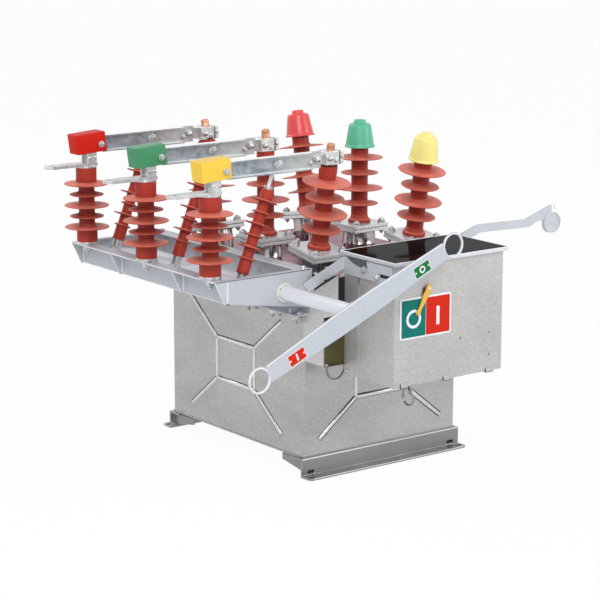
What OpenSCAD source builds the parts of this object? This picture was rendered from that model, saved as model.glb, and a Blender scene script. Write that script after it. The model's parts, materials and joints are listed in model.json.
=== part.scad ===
// Outdoor 12 kV vacuum recloser with a three-pole disconnector on one side.
// +X runs along the blades towards the capped bushings, +Y across the phases, +Z up.
// The origin is the middle of the four base slots, at the underside of the base rails.

/* [Phases] */
// Distance between neighbouring phases
phase_pitch = 300; // [290:1:320]
// Lean of the outer bushings, in degrees
bushing_lean = 10; // [6:0.5:12]

/* [Tank] */
// Length of the tank along the blades
tank_length = 544; // [520:1:600]
// Width of the tank across the phases
tank_width = 628; // [600:1:660]
// Height of the tank with its floor and roof
tank_height = 495; // [470:1:530]
// Thickness of the tank's sheet
tank_wall = 3; // [2:0.5:5]
// Radius of the tank's upright corners
tank_corner = 10; // [4:1:20]
// Width of the stiffening beads pressed into the walls
bead_width = 9; // [6:1:14]
// Height of the beads above the wall
bead_rise = 2; // [1:0.5:3]

/* [Base rails] */
// Height of the base rails
rail_height = 52; // [40:1:70]
// Thickness of the rails' plate
rail_plate = 5; // [4:1:8]
// Width of the foot that sticks out of each rail
foot_width = 44; // [36:1:60]
// Radius of a fixing slot's round ends
slot_radius = 7; // [5:0.5:9]
// Straight length of a fixing slot
slot_run = 12; // [8:1:20]

/* [Bushings] */
// Distance from the tank's middle to the bushings on the capped side
load_row_x = 170; // [150:1:190]
// Distance from the tank's middle to the bushings on the blade side
line_row_x = 166; // [150:1:180]
// Distance from the middle phase to an outer bushing, at its flange
bushing_spread = 245; // [235:1:255]
// Height of the bushing flanges above the tank's roof
flange_rise = 67; // [50:1:75]
// Diameter of the necks on the roof
neck_diameter = 90; // [70:1:100]
// Length of a flange plate along X
flange_length = 120; // [110:1:130]
// Width of a flange plate along Y
flange_width = 118; // [110:1:130]
// Thickness of each of a flange's two plates
flange_plate = 9; // [7:1:12]
// Diameter of a bushing's rubber core
core_diameter = 48; // [40:1:56]
// Diameter of the wide sheds
wide_shed = 134; // [120:1:140]
// Diameter of the narrow sheds
narrow_shed = 108; // [90:1:116]
// Height of the lowest shed's rim above the flange
first_shed = 55; // [48:1:60]
// Distance between neighbouring sheds
shed_pitch = 44.5; // [38:0.5:46]
// Length of a capped bushing's rubber
load_rubber = 219; // [205:1:230]
// Length of a blade-side bushing's rubber
line_rubber = 237; // [228:1:237]
// Height of the coloured caps
cap_height = 78; // [70:1:90]

/* [Contacts] */
// Diameter of the copper studs
stud_diameter = 22; // [18:1:28]
// Thickness of the fixed contact tongues
tongue_plate = 8; // [6:0.5:10]

/* [Disconnector frame] */
// Distance from the tank's middle to the front edge of the frame
frame_reach = 587; // [570:1:610]
// Distance from an outer phase to the outside of a side plate
frame_margin = 52; // [48:1:60]
// Height of the frame's top above the tank's roof
frame_rise = 40; // [30:1:48]
// Thickness of the frame's plates
frame_plate = 4; // [3:0.5:6]
// Width of the shelf that the posts stand on
shelf_width = 42; // [36:1:50]
// Height of the front member
front_height = 63; // [55:1:75]
// Height of a side plate where it meets the tank
side_height = 104; // [90:1:120]
// Height of the rear member
rear_height = 126; // [116:1:140]

/* [Post insulators] */
// Height of a post's rubber
post_height = 209; // [200:1:214]
// Diameter of a post's wide sheds
post_wide_shed = 125; // [110:1:132]
// Diameter of a post's narrow sheds
post_narrow_shed = 96; // [84:1:104]
// Diameter of a post's rubber core
post_core = 45; // [40:1:52]
// Diameter of a post's rubber ends and metal ends
post_end = 58; // [52:1:64]

/* [Blades] */
// Distance from a post's middle to its blade's hinge, towards the tank
hinge_shift = 6; // [2:1:10]
// Height of the blade hinges above the tank's roof
hinge_rise = 323; // [321:1:327]
// Height of a blade channel
blade_height = 46; // [40:1:48]
// Width of a blade channel's flanges
blade_flange = 20; // [14:1:24]
// Thickness of a blade channel
blade_plate = 4; // [3:0.5:5]
// Distance from the hinge to the pin that the pull insulator holds
pin_reach = 208; // [200:1:215]
// Length of a coloured hinge box
box_length = 94; // [90:1:98]
// Width of a coloured hinge box
box_width = 54; // [52:1:60]
// Height of a coloured hinge box
box_height = 49; // [47:1:54]

/* [Operating shaft] */
// Distance from the tank's middle to the shaft
shaft_x = 367.5; // [360:0.5:375]
// Depth of the shaft below the tank's roof
shaft_drop = 12; // [8:1:16]
// Outer diameter of the shaft
shaft_diameter = 38; // [30:1:42]
// Distance from the shaft back to the crank pins
crank_reach = 108.5; // [100:0.5:112]
// Height of the crank pins above the shaft
crank_rise = 22; // [16:1:28]
// Distance from the mechanism cover's front to the lever
lever_gap = 50; // [42:1:60]
// Thickness of the lever
lever_plate = 8; // [5:1:10]
// Width of the lever's bar
lever_width = 60; // [50:1:66]
// Slope of the lever, in degrees
lever_slope = 23.2; // [20:0.2:26]
// Length of the lever's lower arm, to the centre of its ring
lower_arm = 332; // [300:1:350]
// Length of the lever's upper arm, to the centre of its ring
upper_arm = 348; // [300:1:360]
// Outer diameter of the hook rings
hook_ring = 70; // [60:1:80]

/* [Mechanism] */
// Width of the mechanism cover along X
cover_length = 376; // [360:1:390]
// Distance from the tank's middle to the middle of the cover
cover_shift = 13; // [0:1:20]
// Depth of the mechanism cover along Y
cover_depth = 210; // [190:1:230]
// Gap between the tank and the cover
cover_gap = 88; // [80:1:100]
// Height of the mechanism cover
cover_height = 326; // [310:1:340]
// Depth of the cover's bottom below the tank's roof
cover_drop = 248; // [240:1:256]
// Thickness of the cover's sheet
cover_wall = 3; // [2:0.5:4]
// Thickness of the black lid
lid_plate = 9; // [6:1:14]
// Width of the sign
sign_length = 175; // [160:1:185]
// Height of the sign
sign_height = 110; // [100:1:120]
// Length of the indicator pointer
pointer_length = 80; // [70:1:90]

/* [Hidden] */
$fn = 48;
yellow = -1;
green = 0;
red = 1;
phases = [yellow, green, red];
running_gap = 0.3;
pin_gap = 0.1;
contact_gap = 0.3;
seal_plate = 2;
rail_overhang = 9;
slot_end = 9;
slot_edge = 13;
floor_z = rail_height;
roof_z = floor_z + tank_height;
tank_half_x = tank_length / 2;
tank_half_y = tank_width / 2;
rail_y = tank_half_y + 2;
rail_length = tank_length + 2 * rail_overhang;
foot_y = rail_y + foot_width - slot_radius - slot_edge;
slot_x = rail_length / 2 - slot_end - slot_run / 2;
flange_stack = 2 * flange_plate + seal_plate;
frame_half_width = phase_pitch + frame_margin;
frame_z = roof_z + frame_rise;
shelf_inner_x = frame_reach - shelf_width;
post_x = frame_reach - shelf_width / 2;
hinge_x = post_x - hinge_shift;
hinge_z = roof_z + hinge_rise;
shaft_z = roof_z - shaft_drop;
web_y = -(tongue_plate + blade_plate) / 2 - contact_gap;
cover_back_y = tank_half_y + cover_gap;
cover_front_y = cover_back_y + cover_depth;
cover_z = roof_z - cover_drop;
cover_top_z = cover_z + cover_height;
cover_left_x = -cover_shift - cover_length / 2;
cover_right_x = -cover_shift + cover_length / 2;
lever_y = cover_front_y + lever_gap;

function phase_y(phase) = phase * phase_pitch;

// ---------- shared shapes ----------

module both_ways(axis) {
  children();
  mirror(axis) children();
}

// Plate drawn in X and Z and stood across Y, centred on y
module wall_plate(y, thick, points) {
  translate([0, y + thick / 2, 0])
    rotate([90, 0, 0])
      linear_extrude(thick)
        polygon(points);
}

// Rod along Y between two places
module rod_y(x, z, y_from, y_to, radius) {
  translate([x, y_to, z])
    rotate([90, 0, 0])
      cylinder(r = radius, h = y_to - y_from);
}

// Shedded rubber column that stands on the origin
module shedded(height, core_d, sheds, foot_d, foot_h, head_d, head_h, shed_rise = 10) {
  cylinder(d = core_d, h = height);
  cylinder(d = foot_d, h = foot_h);
  translate([0, 0, height - head_h])
    cylinder(d = head_d, h = head_h);
  for (shed = sheds)
    translate([0, 0, shed[0]])
      shed_disc(shed[1], core_d, shed_rise);
}

// One shed with its rim at the origin: nearly flat below, sloping up to the core above
module shed_disc(shed_d, core_d, rise) {
  rim = 1.5;
  under = 3;
  collar_w = 5;
  collar_z = 0.6 * rise;
  rotate_extrude()
    polygon([
      [0, -under], [core_d / 2, -under], [shed_d / 2 - rim, -rim], [shed_d / 2, 0],
      [shed_d / 2 - rim, rim], [core_d / 2 + collar_w, collar_z], [core_d / 2, rise], [0, rise]
    ]);
}

// ---------- base ----------

module rail() {
  inner_run = 46;
  foot_corner = 12;
  foot_edge_y = -rail_y - foot_width;
  color("lightsteelblue")
    difference() {
      union() {
        translate([-rail_length / 2, -rail_y - rail_plate, 0])
          cube([rail_length, rail_plate, rail_height - rail_plate]);
        translate([-rail_length / 2, -rail_y - rail_plate, rail_height - rail_plate])
          cube([rail_length, inner_run, rail_plate]);
        translate([-rail_length / 2 + foot_corner, foot_edge_y, 0])
          cube([rail_length - 2 * foot_corner, foot_width, rail_plate]);
        translate([-rail_length / 2, foot_edge_y + foot_corner, 0])
          cube([rail_length, foot_width - foot_corner, rail_plate]);
        both_ways([1, 0, 0])
          translate([rail_length / 2 - foot_corner, foot_edge_y + foot_corner, 0])
            cylinder(r = foot_corner, h = rail_plate);
        both_ways([1, 0, 0])
          rail_gusset();
      }
      for (side = [-1, 1]) {
        foot_slot(side * slot_x);
        drain_slot(side * (slot_x - 16));
      }
    }
}

module rail_gusset() {
  outer_h = 34;
  inner_h = 18;
  gusset_run = 100;
  top = rail_height - rail_plate;
  translate([tank_half_x - 8, -rail_y, 0])
    rotate([90, 0, 90])
      linear_extrude(rail_plate)
        polygon([[0, top], [gusset_run, top], [gusset_run, top - inner_h], [0, top - outer_h]]);
}

module foot_slot(x) {
  for (end = [-1, 1])
    translate([x + end * slot_run / 2, -foot_y, -1])
      cylinder(r = slot_radius, h = rail_plate + 2);
  translate([x - slot_run / 2, -foot_y - slot_radius, -1])
    cube([slot_run, 2 * slot_radius, rail_plate + 2]);
}

// Slot through the rail's web, just above its foot
module drain_slot(x) {
  drain_radius = 5;
  drain_run = 14;
  drain_z = rail_plate + drain_radius + 3;
  for (end = [-1, 1])
    rod_y(x + end * drain_run / 2, drain_z, -rail_y - rail_plate - 1, -rail_y + 1, drain_radius);
  translate([x - drain_run / 2, -rail_y - rail_plate - 1, drain_z - drain_radius])
    cube([drain_run, rail_plate + 2, 2 * drain_radius]);
}

module rail_front() {
  rail();
}

module rail_back() {
  mirror([0, 1, 0])
    rail();
}

// ---------- tank ----------

module tank_slab(grow, low, thick) {
  inner_x = tank_length - 2 * tank_corner;
  inner_y = tank_width - 2 * tank_corner;
  translate([-inner_x / 2, -tank_half_y - grow, low])
    cube([inner_x, tank_width + 2 * grow, thick]);
  translate([-tank_half_x - grow, -inner_y / 2, low])
    cube([tank_length + 2 * grow, inner_y, thick]);
  for (x = [-1, 1])
    for (y = [-1, 1])
      translate([x * inner_x / 2, y * inner_y / 2, low])
        cylinder(r = tank_corner + grow, h = thick);
}

module tank_floor() {
  lip = 3;
  color("silver")
    tank_slab(lip, floor_z, tank_wall);
}

module tank_walls() {
  color("silver")
    union() {
      difference() {
        tank_slab(0, floor_z + tank_wall, tank_height - 2 * tank_wall);
        tank_slab(-tank_wall, floor_z + tank_wall - 1, tank_height - 2 * tank_wall + 2);
      }
      for (turn = [0, 180])
        rotate(turn) {
          rotate(90)
            wall_beads(tank_half_x);
          wall_beads(tank_half_y);
        }
    }
}

// Beads of one wall, shaped like an opened envelope: an inner rectangle tied to the corners
module wall_beads(wall_at) {
  inner_half = 89;
  outer_half = min(tank_half_x, tank_half_y) - 56;
  middle_z = floor_z + 203;
  inner_rise = 60;
  outer_rise = 160;
  for (side = [-1, 1]) {
    for (tier = [-1, 1])
      bead(wall_at, [side * inner_half, middle_z + tier * inner_rise],
        [side * outer_half, middle_z + tier * outer_rise]);
    bead(wall_at, [side * inner_half, middle_z - inner_rise], [side * inner_half, middle_z + inner_rise]);
    bead(wall_at, [-inner_half, middle_z + side * inner_rise], [inner_half, middle_z + side * inner_rise]);
  }
}

module bead(wall_at, from, to) {
  run = to - from;
  translate([from[0], -wall_at + 1, from[1]])
    rotate([0, -atan2(run[1], run[0]), 0])
      rotate([90, 0, 90])
        linear_extrude(norm(run))
          polygon([
            [0, -bead_width / 2], [-1, -bead_width / 2], [-1 - bead_rise, -bead_width / 6],
            [-1 - bead_rise, bead_width / 6], [-1, bead_width / 2], [0, bead_width / 2]
          ]);
}

module tank_roof() {
  color("silver")
    difference() {
      tank_slab(0, roof_z - tank_wall, tank_wall);
      for (phase = phases)
        for (row = [-line_row_x, load_row_x])
          at_bushing(row, phase)
            translate([0, 0, -flange_rise - 30])
              cylinder(d = neck_diameter - 2 * tank_wall, h = 60);
    }
}

// ---------- bushings ----------

// Moves to a bushing's flange face, with Z along the bushing
module at_bushing(x, phase) {
  translate([x, phase * bushing_spread, roof_z + flange_rise])
    rotate([-phase * bushing_lean, 0, 0])
      children();
}

module bushing_necks() {
  color("gainsboro")
    for (phase = phases)
      for (row = [-line_row_x, load_row_x])
        difference() {
          at_bushing(row, phase)
            translate([0, 0, -flange_rise - 30])
              difference() {
                cylinder(d = neck_diameter, h = flange_rise + 30 - flange_stack);
                translate([0, 0, -1])
                  cylinder(d = neck_diameter - 2 * tank_wall, h = flange_rise + 32);
              }
          translate([row - neck_diameter, phase * bushing_spread - neck_diameter - 20, roof_z - 100])
            cube([2 * neck_diameter, 2 * neck_diameter + 40, 100]);
        }
}

// Two plates with a seal between them, and a domed nut at each corner
module bushing_flanges() {
  nut_d = 18;
  nut_h = 8;
  nut_edge = 14;
  seal_edge = 4;
  color("gainsboro")
    for (phase = phases)
      for (row = [-line_row_x, load_row_x])
        at_bushing(row, phase) {
          for (low = [-flange_stack, -flange_plate])
            translate([-flange_length / 2, -flange_width / 2, low])
              cube([flange_length, flange_width, flange_plate]);
          translate([-flange_length / 2 + seal_edge, -flange_width / 2 + seal_edge, -flange_plate - seal_plate])
            cube([flange_length - 2 * seal_edge, flange_width - 2 * seal_edge, seal_plate]);
          for (x = [-1, 1])
            for (y = [-1, 1])
              translate([x * (flange_length / 2 - nut_edge), y * (flange_width / 2 - nut_edge), 0])
                cylinder(d = nut_d, h = nut_h);
        }
}

// Rim height and diameter of each shed, from the lowest up
function bushing_sheds() = [
  for (i = [0:3]) [first_shed + i * shed_pitch, i % 2 == 0 ? narrow_shed : wide_shed]
];

module bushing(height) {
  foot_d = 63;
  foot_h = 9;
  flare_h = 6;
  head_d = core_diameter + 2;
  head_h = 24;
  color("firebrick") {
    shedded(height, core_diameter, bushing_sheds(), foot_d, foot_h, head_d, head_h);
    translate([0, 0, foot_h])
      cylinder(d1 = foot_d, d2 = core_diameter, h = flare_h);
  }
}

module bushings_line() {
  for (phase = phases)
    at_bushing(-line_row_x, phase)
      bushing(line_rubber);
}

module bushings_load() {
  for (phase = phases)
    at_bushing(load_row_x, phase)
      bushing(load_rubber);
}

module bushing_cap(phase, shade) {
  rim_r = 43;
  rim_h = 4;
  skirt_r = 40;
  skirt_z = 8;
  shoulder_r = 31;
  shoulder_z = cap_height - 14;
  knob_r = 17.5;
  knob_z = cap_height - 11;
  knob_round = 3;
  color(shade)
    at_bushing(load_row_x, phase)
      translate([0, 0, load_rubber])
        rotate_extrude()
          polygon([
            [0, 0], [rim_r, 0], [rim_r, rim_h], [skirt_r, skirt_z], [shoulder_r, shoulder_z],
            [shoulder_r - knob_round, knob_z], [knob_r, knob_z], [knob_r, cap_height - knob_round],
            [knob_r - knob_round, cap_height], [0, cap_height]
          ]);
}

module cap_yellow() {
  bushing_cap(yellow, "khaki");
}

module cap_green() {
  bushing_cap(green, "mediumseagreen");
}

module cap_red() {
  bushing_cap(red, "indianred");
}

// ---------- contacts on the blade-side bushings ----------

contact_half = 30;
contact_width = 46;
contact_height = 37;
tongue_reach = 24;
stud_top = 298;

// Clamp block, tongue and copper stud of each phase
module contacts() {
  low = hinge_z - contact_height / 2;
  block_x = -line_row_x - contact_half;
  block_lean = 9;
  block_tail = 4;
  tongue_edge = 3;
  collar = 16;
  for (phase = phases) {
    color("silver") {
      at_bushing(-line_row_x, phase)
        translate([0, 0, line_rubber])
          cylinder(d = core_diameter - 4, h = collar);
      translate([block_x, phase * (phase_pitch - block_lean) - contact_width / 2, low])
        cube([2 * contact_half + block_tail, contact_width, contact_height]);
      translate([block_x - tongue_reach, phase_y(phase) - tongue_plate / 2, low + tongue_edge])
        cube([tongue_reach + 1, tongue_plate, contact_height - 2 * tongue_edge]);
    }
    color("peru")
      at_bushing(-line_row_x, phase)
        translate([0, 0, line_rubber + collar])
          cylinder(d = stud_diameter, h = stud_top - line_rubber - collar);
  }
}

// ---------- disconnector frame ----------

module frame_front() {
  gusset_top = shelf_width - 1;
  gusset_foot = 12;
  half = frame_half_width - frame_plate;
  color("lightsteelblue")
    difference() {
      union() {
        translate([-frame_reach, -half, frame_z - frame_plate])
          cube([shelf_width, 2 * half, frame_plate]);
        translate([-shelf_inner_x - frame_plate, -half, frame_z - front_height])
          cube([frame_plate, 2 * half, front_height]);
        for (side = [-1, 1])
          wall_plate(side * phase_pitch / 2, frame_plate, [
            [-shelf_inner_x, frame_z - 1], [-shelf_inner_x - gusset_top, frame_z - 1],
            [-shelf_inner_x - gusset_foot, frame_z - front_height], [-shelf_inner_x, frame_z - front_height]
          ]);
      }
      for (phase = phases)
        translate([-post_x, phase_y(phase), frame_z - frame_plate - 1])
          cylinder(r = post_bolt_r + 0.5, h = frame_plate + 2);
    }
}

module side_plate() {
  gusset_foot = 12;
  color("lightsteelblue")
    difference() {
      wall_plate(-frame_half_width + frame_plate / 2, frame_plate, [
        [-frame_reach, frame_z], [-tank_half_x - frame_plate, frame_z],
        [-tank_half_x - frame_plate, frame_z - side_height],
        [-shelf_inner_x, frame_z - front_height], [-shelf_inner_x - gusset_foot, frame_z - front_height]
      ]);
      rod_y(-shaft_x, shaft_z, -frame_half_width - 5, -frame_half_width + 10, shaft_diameter / 2 + pin_gap);
    }
}

module frame_side_front() {
  side_plate();
}

module frame_side_back() {
  mirror([0, 1, 0])
    side_plate();
}

// Channel across the tank's top edge, with a wide lower leg and the pads that it rests on
module frame_rear() {
  upper_leg = 40;
  lower_leg = 56;
  pad = 34;
  pad_plate = 5;
  pad_spots = [0.28, 0.65, 1];
  half = frame_half_width - frame_plate;
  low = frame_z - rear_height;
  color("lightsteelblue") {
    translate([-tank_half_x - frame_plate, -frame_half_width, low])
      cube([frame_plate, 2 * frame_half_width, rear_height]);
    translate([-tank_half_x - upper_leg, -half, frame_z - frame_plate])
      cube([upper_leg, 2 * half, frame_plate]);
    translate([-tank_half_x - lower_leg, -half, low])
      cube([lower_leg, 2 * half, frame_plate]);
    both_ways([0, 1, 0])
      for (spot = pad_spots)
        translate([-tank_half_x - pad, spot * phase_pitch - pad / 2, low - pad_plate])
          cube([pad, pad, pad_plate]);
  }
}

module shaft_bearings() {
  ring_h = 8;
  color("gainsboro")
    both_ways([0, 1, 0])
      difference() {
        rod_y(-shaft_x, shaft_z, -frame_half_width - ring_h, -frame_half_width, shaft_diameter / 2 + 6);
        rod_y(-shaft_x, shaft_z, -frame_half_width - ring_h - 1, -frame_half_width + 1,
          shaft_diameter / 2 + pin_gap);
      }
}

// ---------- posts and terminals ----------

post_base = 9;
post_cap = 5;
post_bolt_r = 6;
terminal_plate = 8;
terminal_z = frame_z + post_base + post_height + post_cap;

module posts() {
  pitch = 30.6;
  middle = post_height / 2 - 3;
  foot_h = middle - 2 * pitch;
  head_h = post_height - middle - 2 * pitch;
  sheds = [for (i = [-2:2]) [middle + i * pitch, i % 2 == 0 ? post_wide_shed : post_narrow_shed]];
  color("firebrick")
    for (phase = phases)
      translate([-post_x, phase_y(phase), frame_z + post_base])
        shedded(post_height, post_core, sheds, post_end, foot_h, post_end, head_h);
}

// End discs of each post, with the bolt and nut that hold it to the shelf
module post_fittings() {
  nut_d = 21;
  nut_h = 11;
  thread_end = 14;
  color("silver")
    for (phase = phases)
      translate([-post_x, phase_y(phase), frame_z]) {
        cylinder(d = post_end, h = post_base);
        translate([0, 0, -frame_plate - thread_end])
          cylinder(r = post_bolt_r, h = frame_plate + thread_end + 1);
        translate([0, 0, -frame_plate - nut_h])
          cylinder(d = nut_d, h = nut_h, $fn = 6);
        translate([0, 0, post_base + post_height])
          cylinder(d = post_end, h = post_cap);
      }
}

// Line terminal bar on each post, with the two ears of the blade's hinge
module terminals() {
  bar_half = 20;
  bar_reach = 129;
  bar_tail = 26;
  chamfer_x = 12;
  chamfer_y = 10;
  hole_edge = 20;
  hole_r = 7;
  ear_half = 14;
  ear_base = terminal_z + terminal_plate;
  color("silver")
    for (phase = phases)
      translate([0, phase_y(phase), 0])
        difference() {
          union() {
            translate([-post_x, 0, terminal_z])
              linear_extrude(terminal_plate)
                polygon([
                  [bar_tail, -bar_half], [bar_tail, bar_half], [-bar_reach + chamfer_x, bar_half],
                  [-bar_reach, bar_half - chamfer_y], [-bar_reach, -bar_half + chamfer_y],
                  [-bar_reach + chamfer_x, -bar_half]
                ]);
            for (side = [-1, 1])
              translate([0, web_y + side * (ear_gap + ear_plate) / 2, 0]) {
                rod_y(-hinge_x, hinge_z, -ear_plate / 2, ear_plate / 2, ear_half);
                translate([-hinge_x - ear_half, -ear_plate / 2, ear_base - 1])
                  cube([2 * ear_half, ear_plate, hinge_z - ear_base + 1]);
              }
          }
          rod_y(-hinge_x, hinge_z, web_y - box_width, web_y + box_width, pin_radius);
          translate([-post_x - bar_reach + hole_edge, 0, terminal_z - 1])
            cylinder(r = hole_r, h = terminal_plate + 2);
        }
}

// ---------- blades ----------

contact_lap = 10;
blade_end_x = line_row_x + contact_half + tongue_reach - contact_lap;
box_back = 52;
box_wall = 3;
boss_radius = 13;
pin_radius = 6;
ear_gap = 26;
ear_plate = 5;
ear_reach = ear_gap / 2 + ear_plate;
eye_width = 12;
eye_y = web_y + (blade_plate + eye_width) / 2 + running_gap;
pin_x = -hinge_x + pin_reach;

// Channel that opens away from the tank's front, with its hinge boss and the pull insulator's pin
module blade(phase) {
  edge_z = (blade_height - blade_plate) / 2;
  channel_start = hinge_x - 34;
  channel_run = channel_start - blade_end_x;
  bare_end = 40;
  boss_half = 12;
  color("lightgray")
    translate([0, phase_y(phase), 0]) {
      translate([-channel_start, web_y - blade_plate / 2, hinge_z - blade_height / 2])
        cube([channel_run, blade_plate, blade_height]);
      for (edge = [-1, 1])
        translate([-channel_start, web_y - blade_flange, hinge_z + edge * edge_z - blade_plate / 2])
          cube([channel_run - bare_end, blade_flange, blade_plate]);
      rod_y(-hinge_x, hinge_z, web_y - boss_half, web_y + boss_half, boss_radius);
      translate([-hinge_x, web_y - blade_plate / 2, hinge_z - boss_radius])
        cube([hinge_x - channel_start + 6, blade_plate, 2 * boss_radius]);
      rod_y(-hinge_x, hinge_z, web_y - ear_reach - 4, web_y + ear_reach + 4, pin_radius - pin_gap);
      rod_y(pin_x, hinge_z, web_y, eye_y + eye_width / 2 + 3, pin_radius);
      rod_y(pin_x, hinge_z, web_y - 8, web_y, 11);
      rod_y(-hinge_x + 30, hinge_z, web_y - box_width / 2 + box_wall, web_y, 5);
    }
}

module blade_yellow() {
  blade(yellow);
}

module blade_green() {
  blade(green);
}

module blade_red() {
  blade(red);
}

module hinge_box(phase, shade) {
  low = hinge_z - 21;
  color(shade)
    translate([-hinge_x - box_back, phase_y(phase) + web_y - box_width / 2, low])
      difference() {
        cube([box_length, box_width, box_height]);
        translate([box_wall, box_wall, -1])
          cube([box_length, box_width - 2 * box_wall, box_height - box_wall + 1]);
      }
}

module hinge_box_yellow() {
  hinge_box(yellow, "gold");
}

module hinge_box_green() {
  hinge_box(green, "seagreen");
}

module hinge_box_red() {
  hinge_box(red, "red");
}

// ---------- pull insulators ----------

crank_x = -shaft_x - crank_reach;
crank_z = shaft_z + crank_rise;
pull_run = [pin_x - crank_x, hinge_z - crank_z];
pull_length = norm(pull_run);
pull_tilt = atan2(pull_run[0], pull_run[1]);
pull_start = 42;
pull_rubber = 223;

// Moves to the crank pin, with Z along the pull insulator
module at_pull(phase) {
  translate([crank_x, phase_y(phase), crank_z])
    rotate([0, pull_tilt, 0])
      children();
}

module pull_insulator(phase) {
  core_d = 30;
  end_d = 34;
  low_shed = 32;
  pitch = (pull_rubber - 2 * low_shed) / 5;
  wide_d = 72;
  narrow_d = 50;
  thin_rise = 5;
  sheds = [for (i = [0:5]) [low_shed + i * pitch, i % 2 == 0 ? narrow_d : wide_d]];
  color("firebrick")
    at_pull(phase)
      translate([0, 0, pull_start])
        shedded(pull_rubber, core_d, sheds, end_d, low_shed, end_d, low_shed, thin_rise);
}

module pull_insulator_yellow() {
  pull_insulator(yellow);
}

module pull_insulator_green() {
  pull_insulator(green);
}

module pull_insulator_red() {
  pull_insulator(red);
}

// Fork for the crank below the rubber, and the rod with its eye above it
module pull_fittings(phase) {
  fork_plate = 4;
  fork_gap = 14;
  fork_half = 8;
  fork_end = 11;
  bridge_half = 9;
  bridge_plate = 8;
  collar_r = 12;
  collar_h = 8;
  rod_r = 5.5;
  eye_r = 14;
  rod_base = pull_start + pull_rubber;
  color("silver")
    at_pull(phase) {
      for (side = [-1, 1])
        translate([-fork_half, side * (fork_gap + fork_plate) / 2 - fork_plate / 2, -fork_end])
          cube([2 * fork_half, fork_plate, pull_start + fork_end - bridge_plate + 1]);
      translate([-bridge_half, -fork_gap / 2 - fork_plate, pull_start - bridge_plate])
        cube([2 * bridge_half, fork_gap + 2 * fork_plate, bridge_plate]);
      translate([0, 0, rod_base])
        cylinder(r = collar_r, h = collar_h);
      translate([0, eye_y, 0])
        difference() {
          union() {
            translate([0, 0, rod_base])
              cylinder(r = rod_r, h = pull_length - rod_base);
            rod_y(0, pull_length, -eye_width / 2, eye_width / 2, eye_r);
          }
          rod_y(0, pull_length, -eye_width, eye_width, pin_radius + pin_gap);
        }
    }
}

module pull_fittings_yellow() {
  pull_fittings(yellow);
}

module pull_fittings_green() {
  pull_fittings(green);
}

module pull_fittings_red() {
  pull_fittings(red);
}

// ---------- operating shaft and lever ----------

module operating_shaft() {
  eye_plate = 8;
  eye_half = 11;
  crank_length = norm([crank_reach, crank_rise]);
  crank_angle = atan2(crank_rise, crank_reach);
  color("white") {
    rod_y(-shaft_x, shaft_z, -lever_y + lever_plate / 2, frame_half_width + 4, shaft_diameter / 2);
    for (phase = phases)
      translate([-shaft_x, phase_y(phase), shaft_z])
        rotate([0, crank_angle, 0]) {
          translate([-crank_length, -eye_plate / 2, -eye_half])
            cube([crank_length, eye_plate, 2 * eye_half]);
          rod_y(-crank_length, 0, -eye_plate / 2, eye_plate / 2, eye_half);
        }
  }
}

module operating_lever() {
  end_width = lever_width * 0.74;
  ring_radius = hook_ring / 2 - 3;
  low_end = -lower_arm + ring_radius - 3;
  high_end = upper_arm - ring_radius + 3;
  color("lightsteelblue")
    translate([-shaft_x, -lever_y, shaft_z])
      rotate([0, -lever_slope, 0]) {
        wall_plate(0, lever_plate, [
          [low_end, -end_width / 2], [-60, -lever_width / 2],
          [60, -lever_width / 2], [high_end, -end_width / 2],
          [high_end, end_width / 2], [60, lever_width / 2],
          [-60, lever_width / 2], [low_end, end_width / 2]
        ]);
        for (end = [-lower_arm, upper_arm])
          translate([end, 0, 0])
            rotate([90, 0, 0])
              wire_ring(ring_radius, 3);
      }
}

// ---------- mechanism ----------

neck_plate = 3;
neck_right_x = cover_right_x - 91;
ring_wire = 2.4;
ring_bar_r = 3;
ring_slack = 5.5;
front_ring_x = cover_left_x + 53;
front_ring_r = 22.5;
front_ring_z = cover_z - 31;
side_ring_x = cover_left_x - 11;
side_ring_r = 30;
side_ring_z = cover_z + 11;

// Sheet box between the tank and the cover, open below, with a wing along the frame
module mechanism_neck() {
  low = cover_z + 28;
  high = cover_top_z - 48;
  wing_y = -cover_back_y - 60;
  wing_low = low + 133;
  wing_back = high - 55;
  tab_run = 32;
  bar_run = 40;
  color("silver") {
    translate([-tank_half_x, 0, 0])
      rotate([90, 0, 90])
        linear_extrude(neck_plate)
          polygon([
            [-tank_half_y, low], [-cover_back_y, low], [-cover_back_y, wing_low], [wing_y, wing_low + 20],
            [wing_y, high + 8], [-tank_half_y - 37, wing_back], [-tank_half_y, wing_back]
          ]);
    translate([-tank_half_x, -tank_half_y - neck_plate, low])
      cube([tab_run, neck_plate, wing_back - low]);
    translate([neck_right_x - neck_plate, -cover_back_y, low])
      cube([neck_plate, cover_gap, high - low]);
    wall_plate(-cover_back_y + neck_plate / 2, neck_plate, [
      [-tank_half_x, low], [neck_right_x, low], [neck_right_x, high], [cover_left_x, high],
      [-tank_half_x, wing_back]
    ]);
    translate([cover_left_x, -cover_back_y, high - neck_plate])
      cube([neck_right_x - cover_left_x, cover_gap, neck_plate]);
    rod_y(side_ring_x, side_ring_z + side_ring_r - ring_slack, -cover_back_y + 1,
      -cover_back_y + bar_run, ring_bar_r);
  }
}

stay_start = [-tank_half_x - 32, -frame_half_width - 1.5, frame_z - 54];
stay_end = [cover_left_x - 2, -cover_back_y - 1, cover_top_z - 21];
stay_plate = 3;
stay_width = 28;

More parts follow.
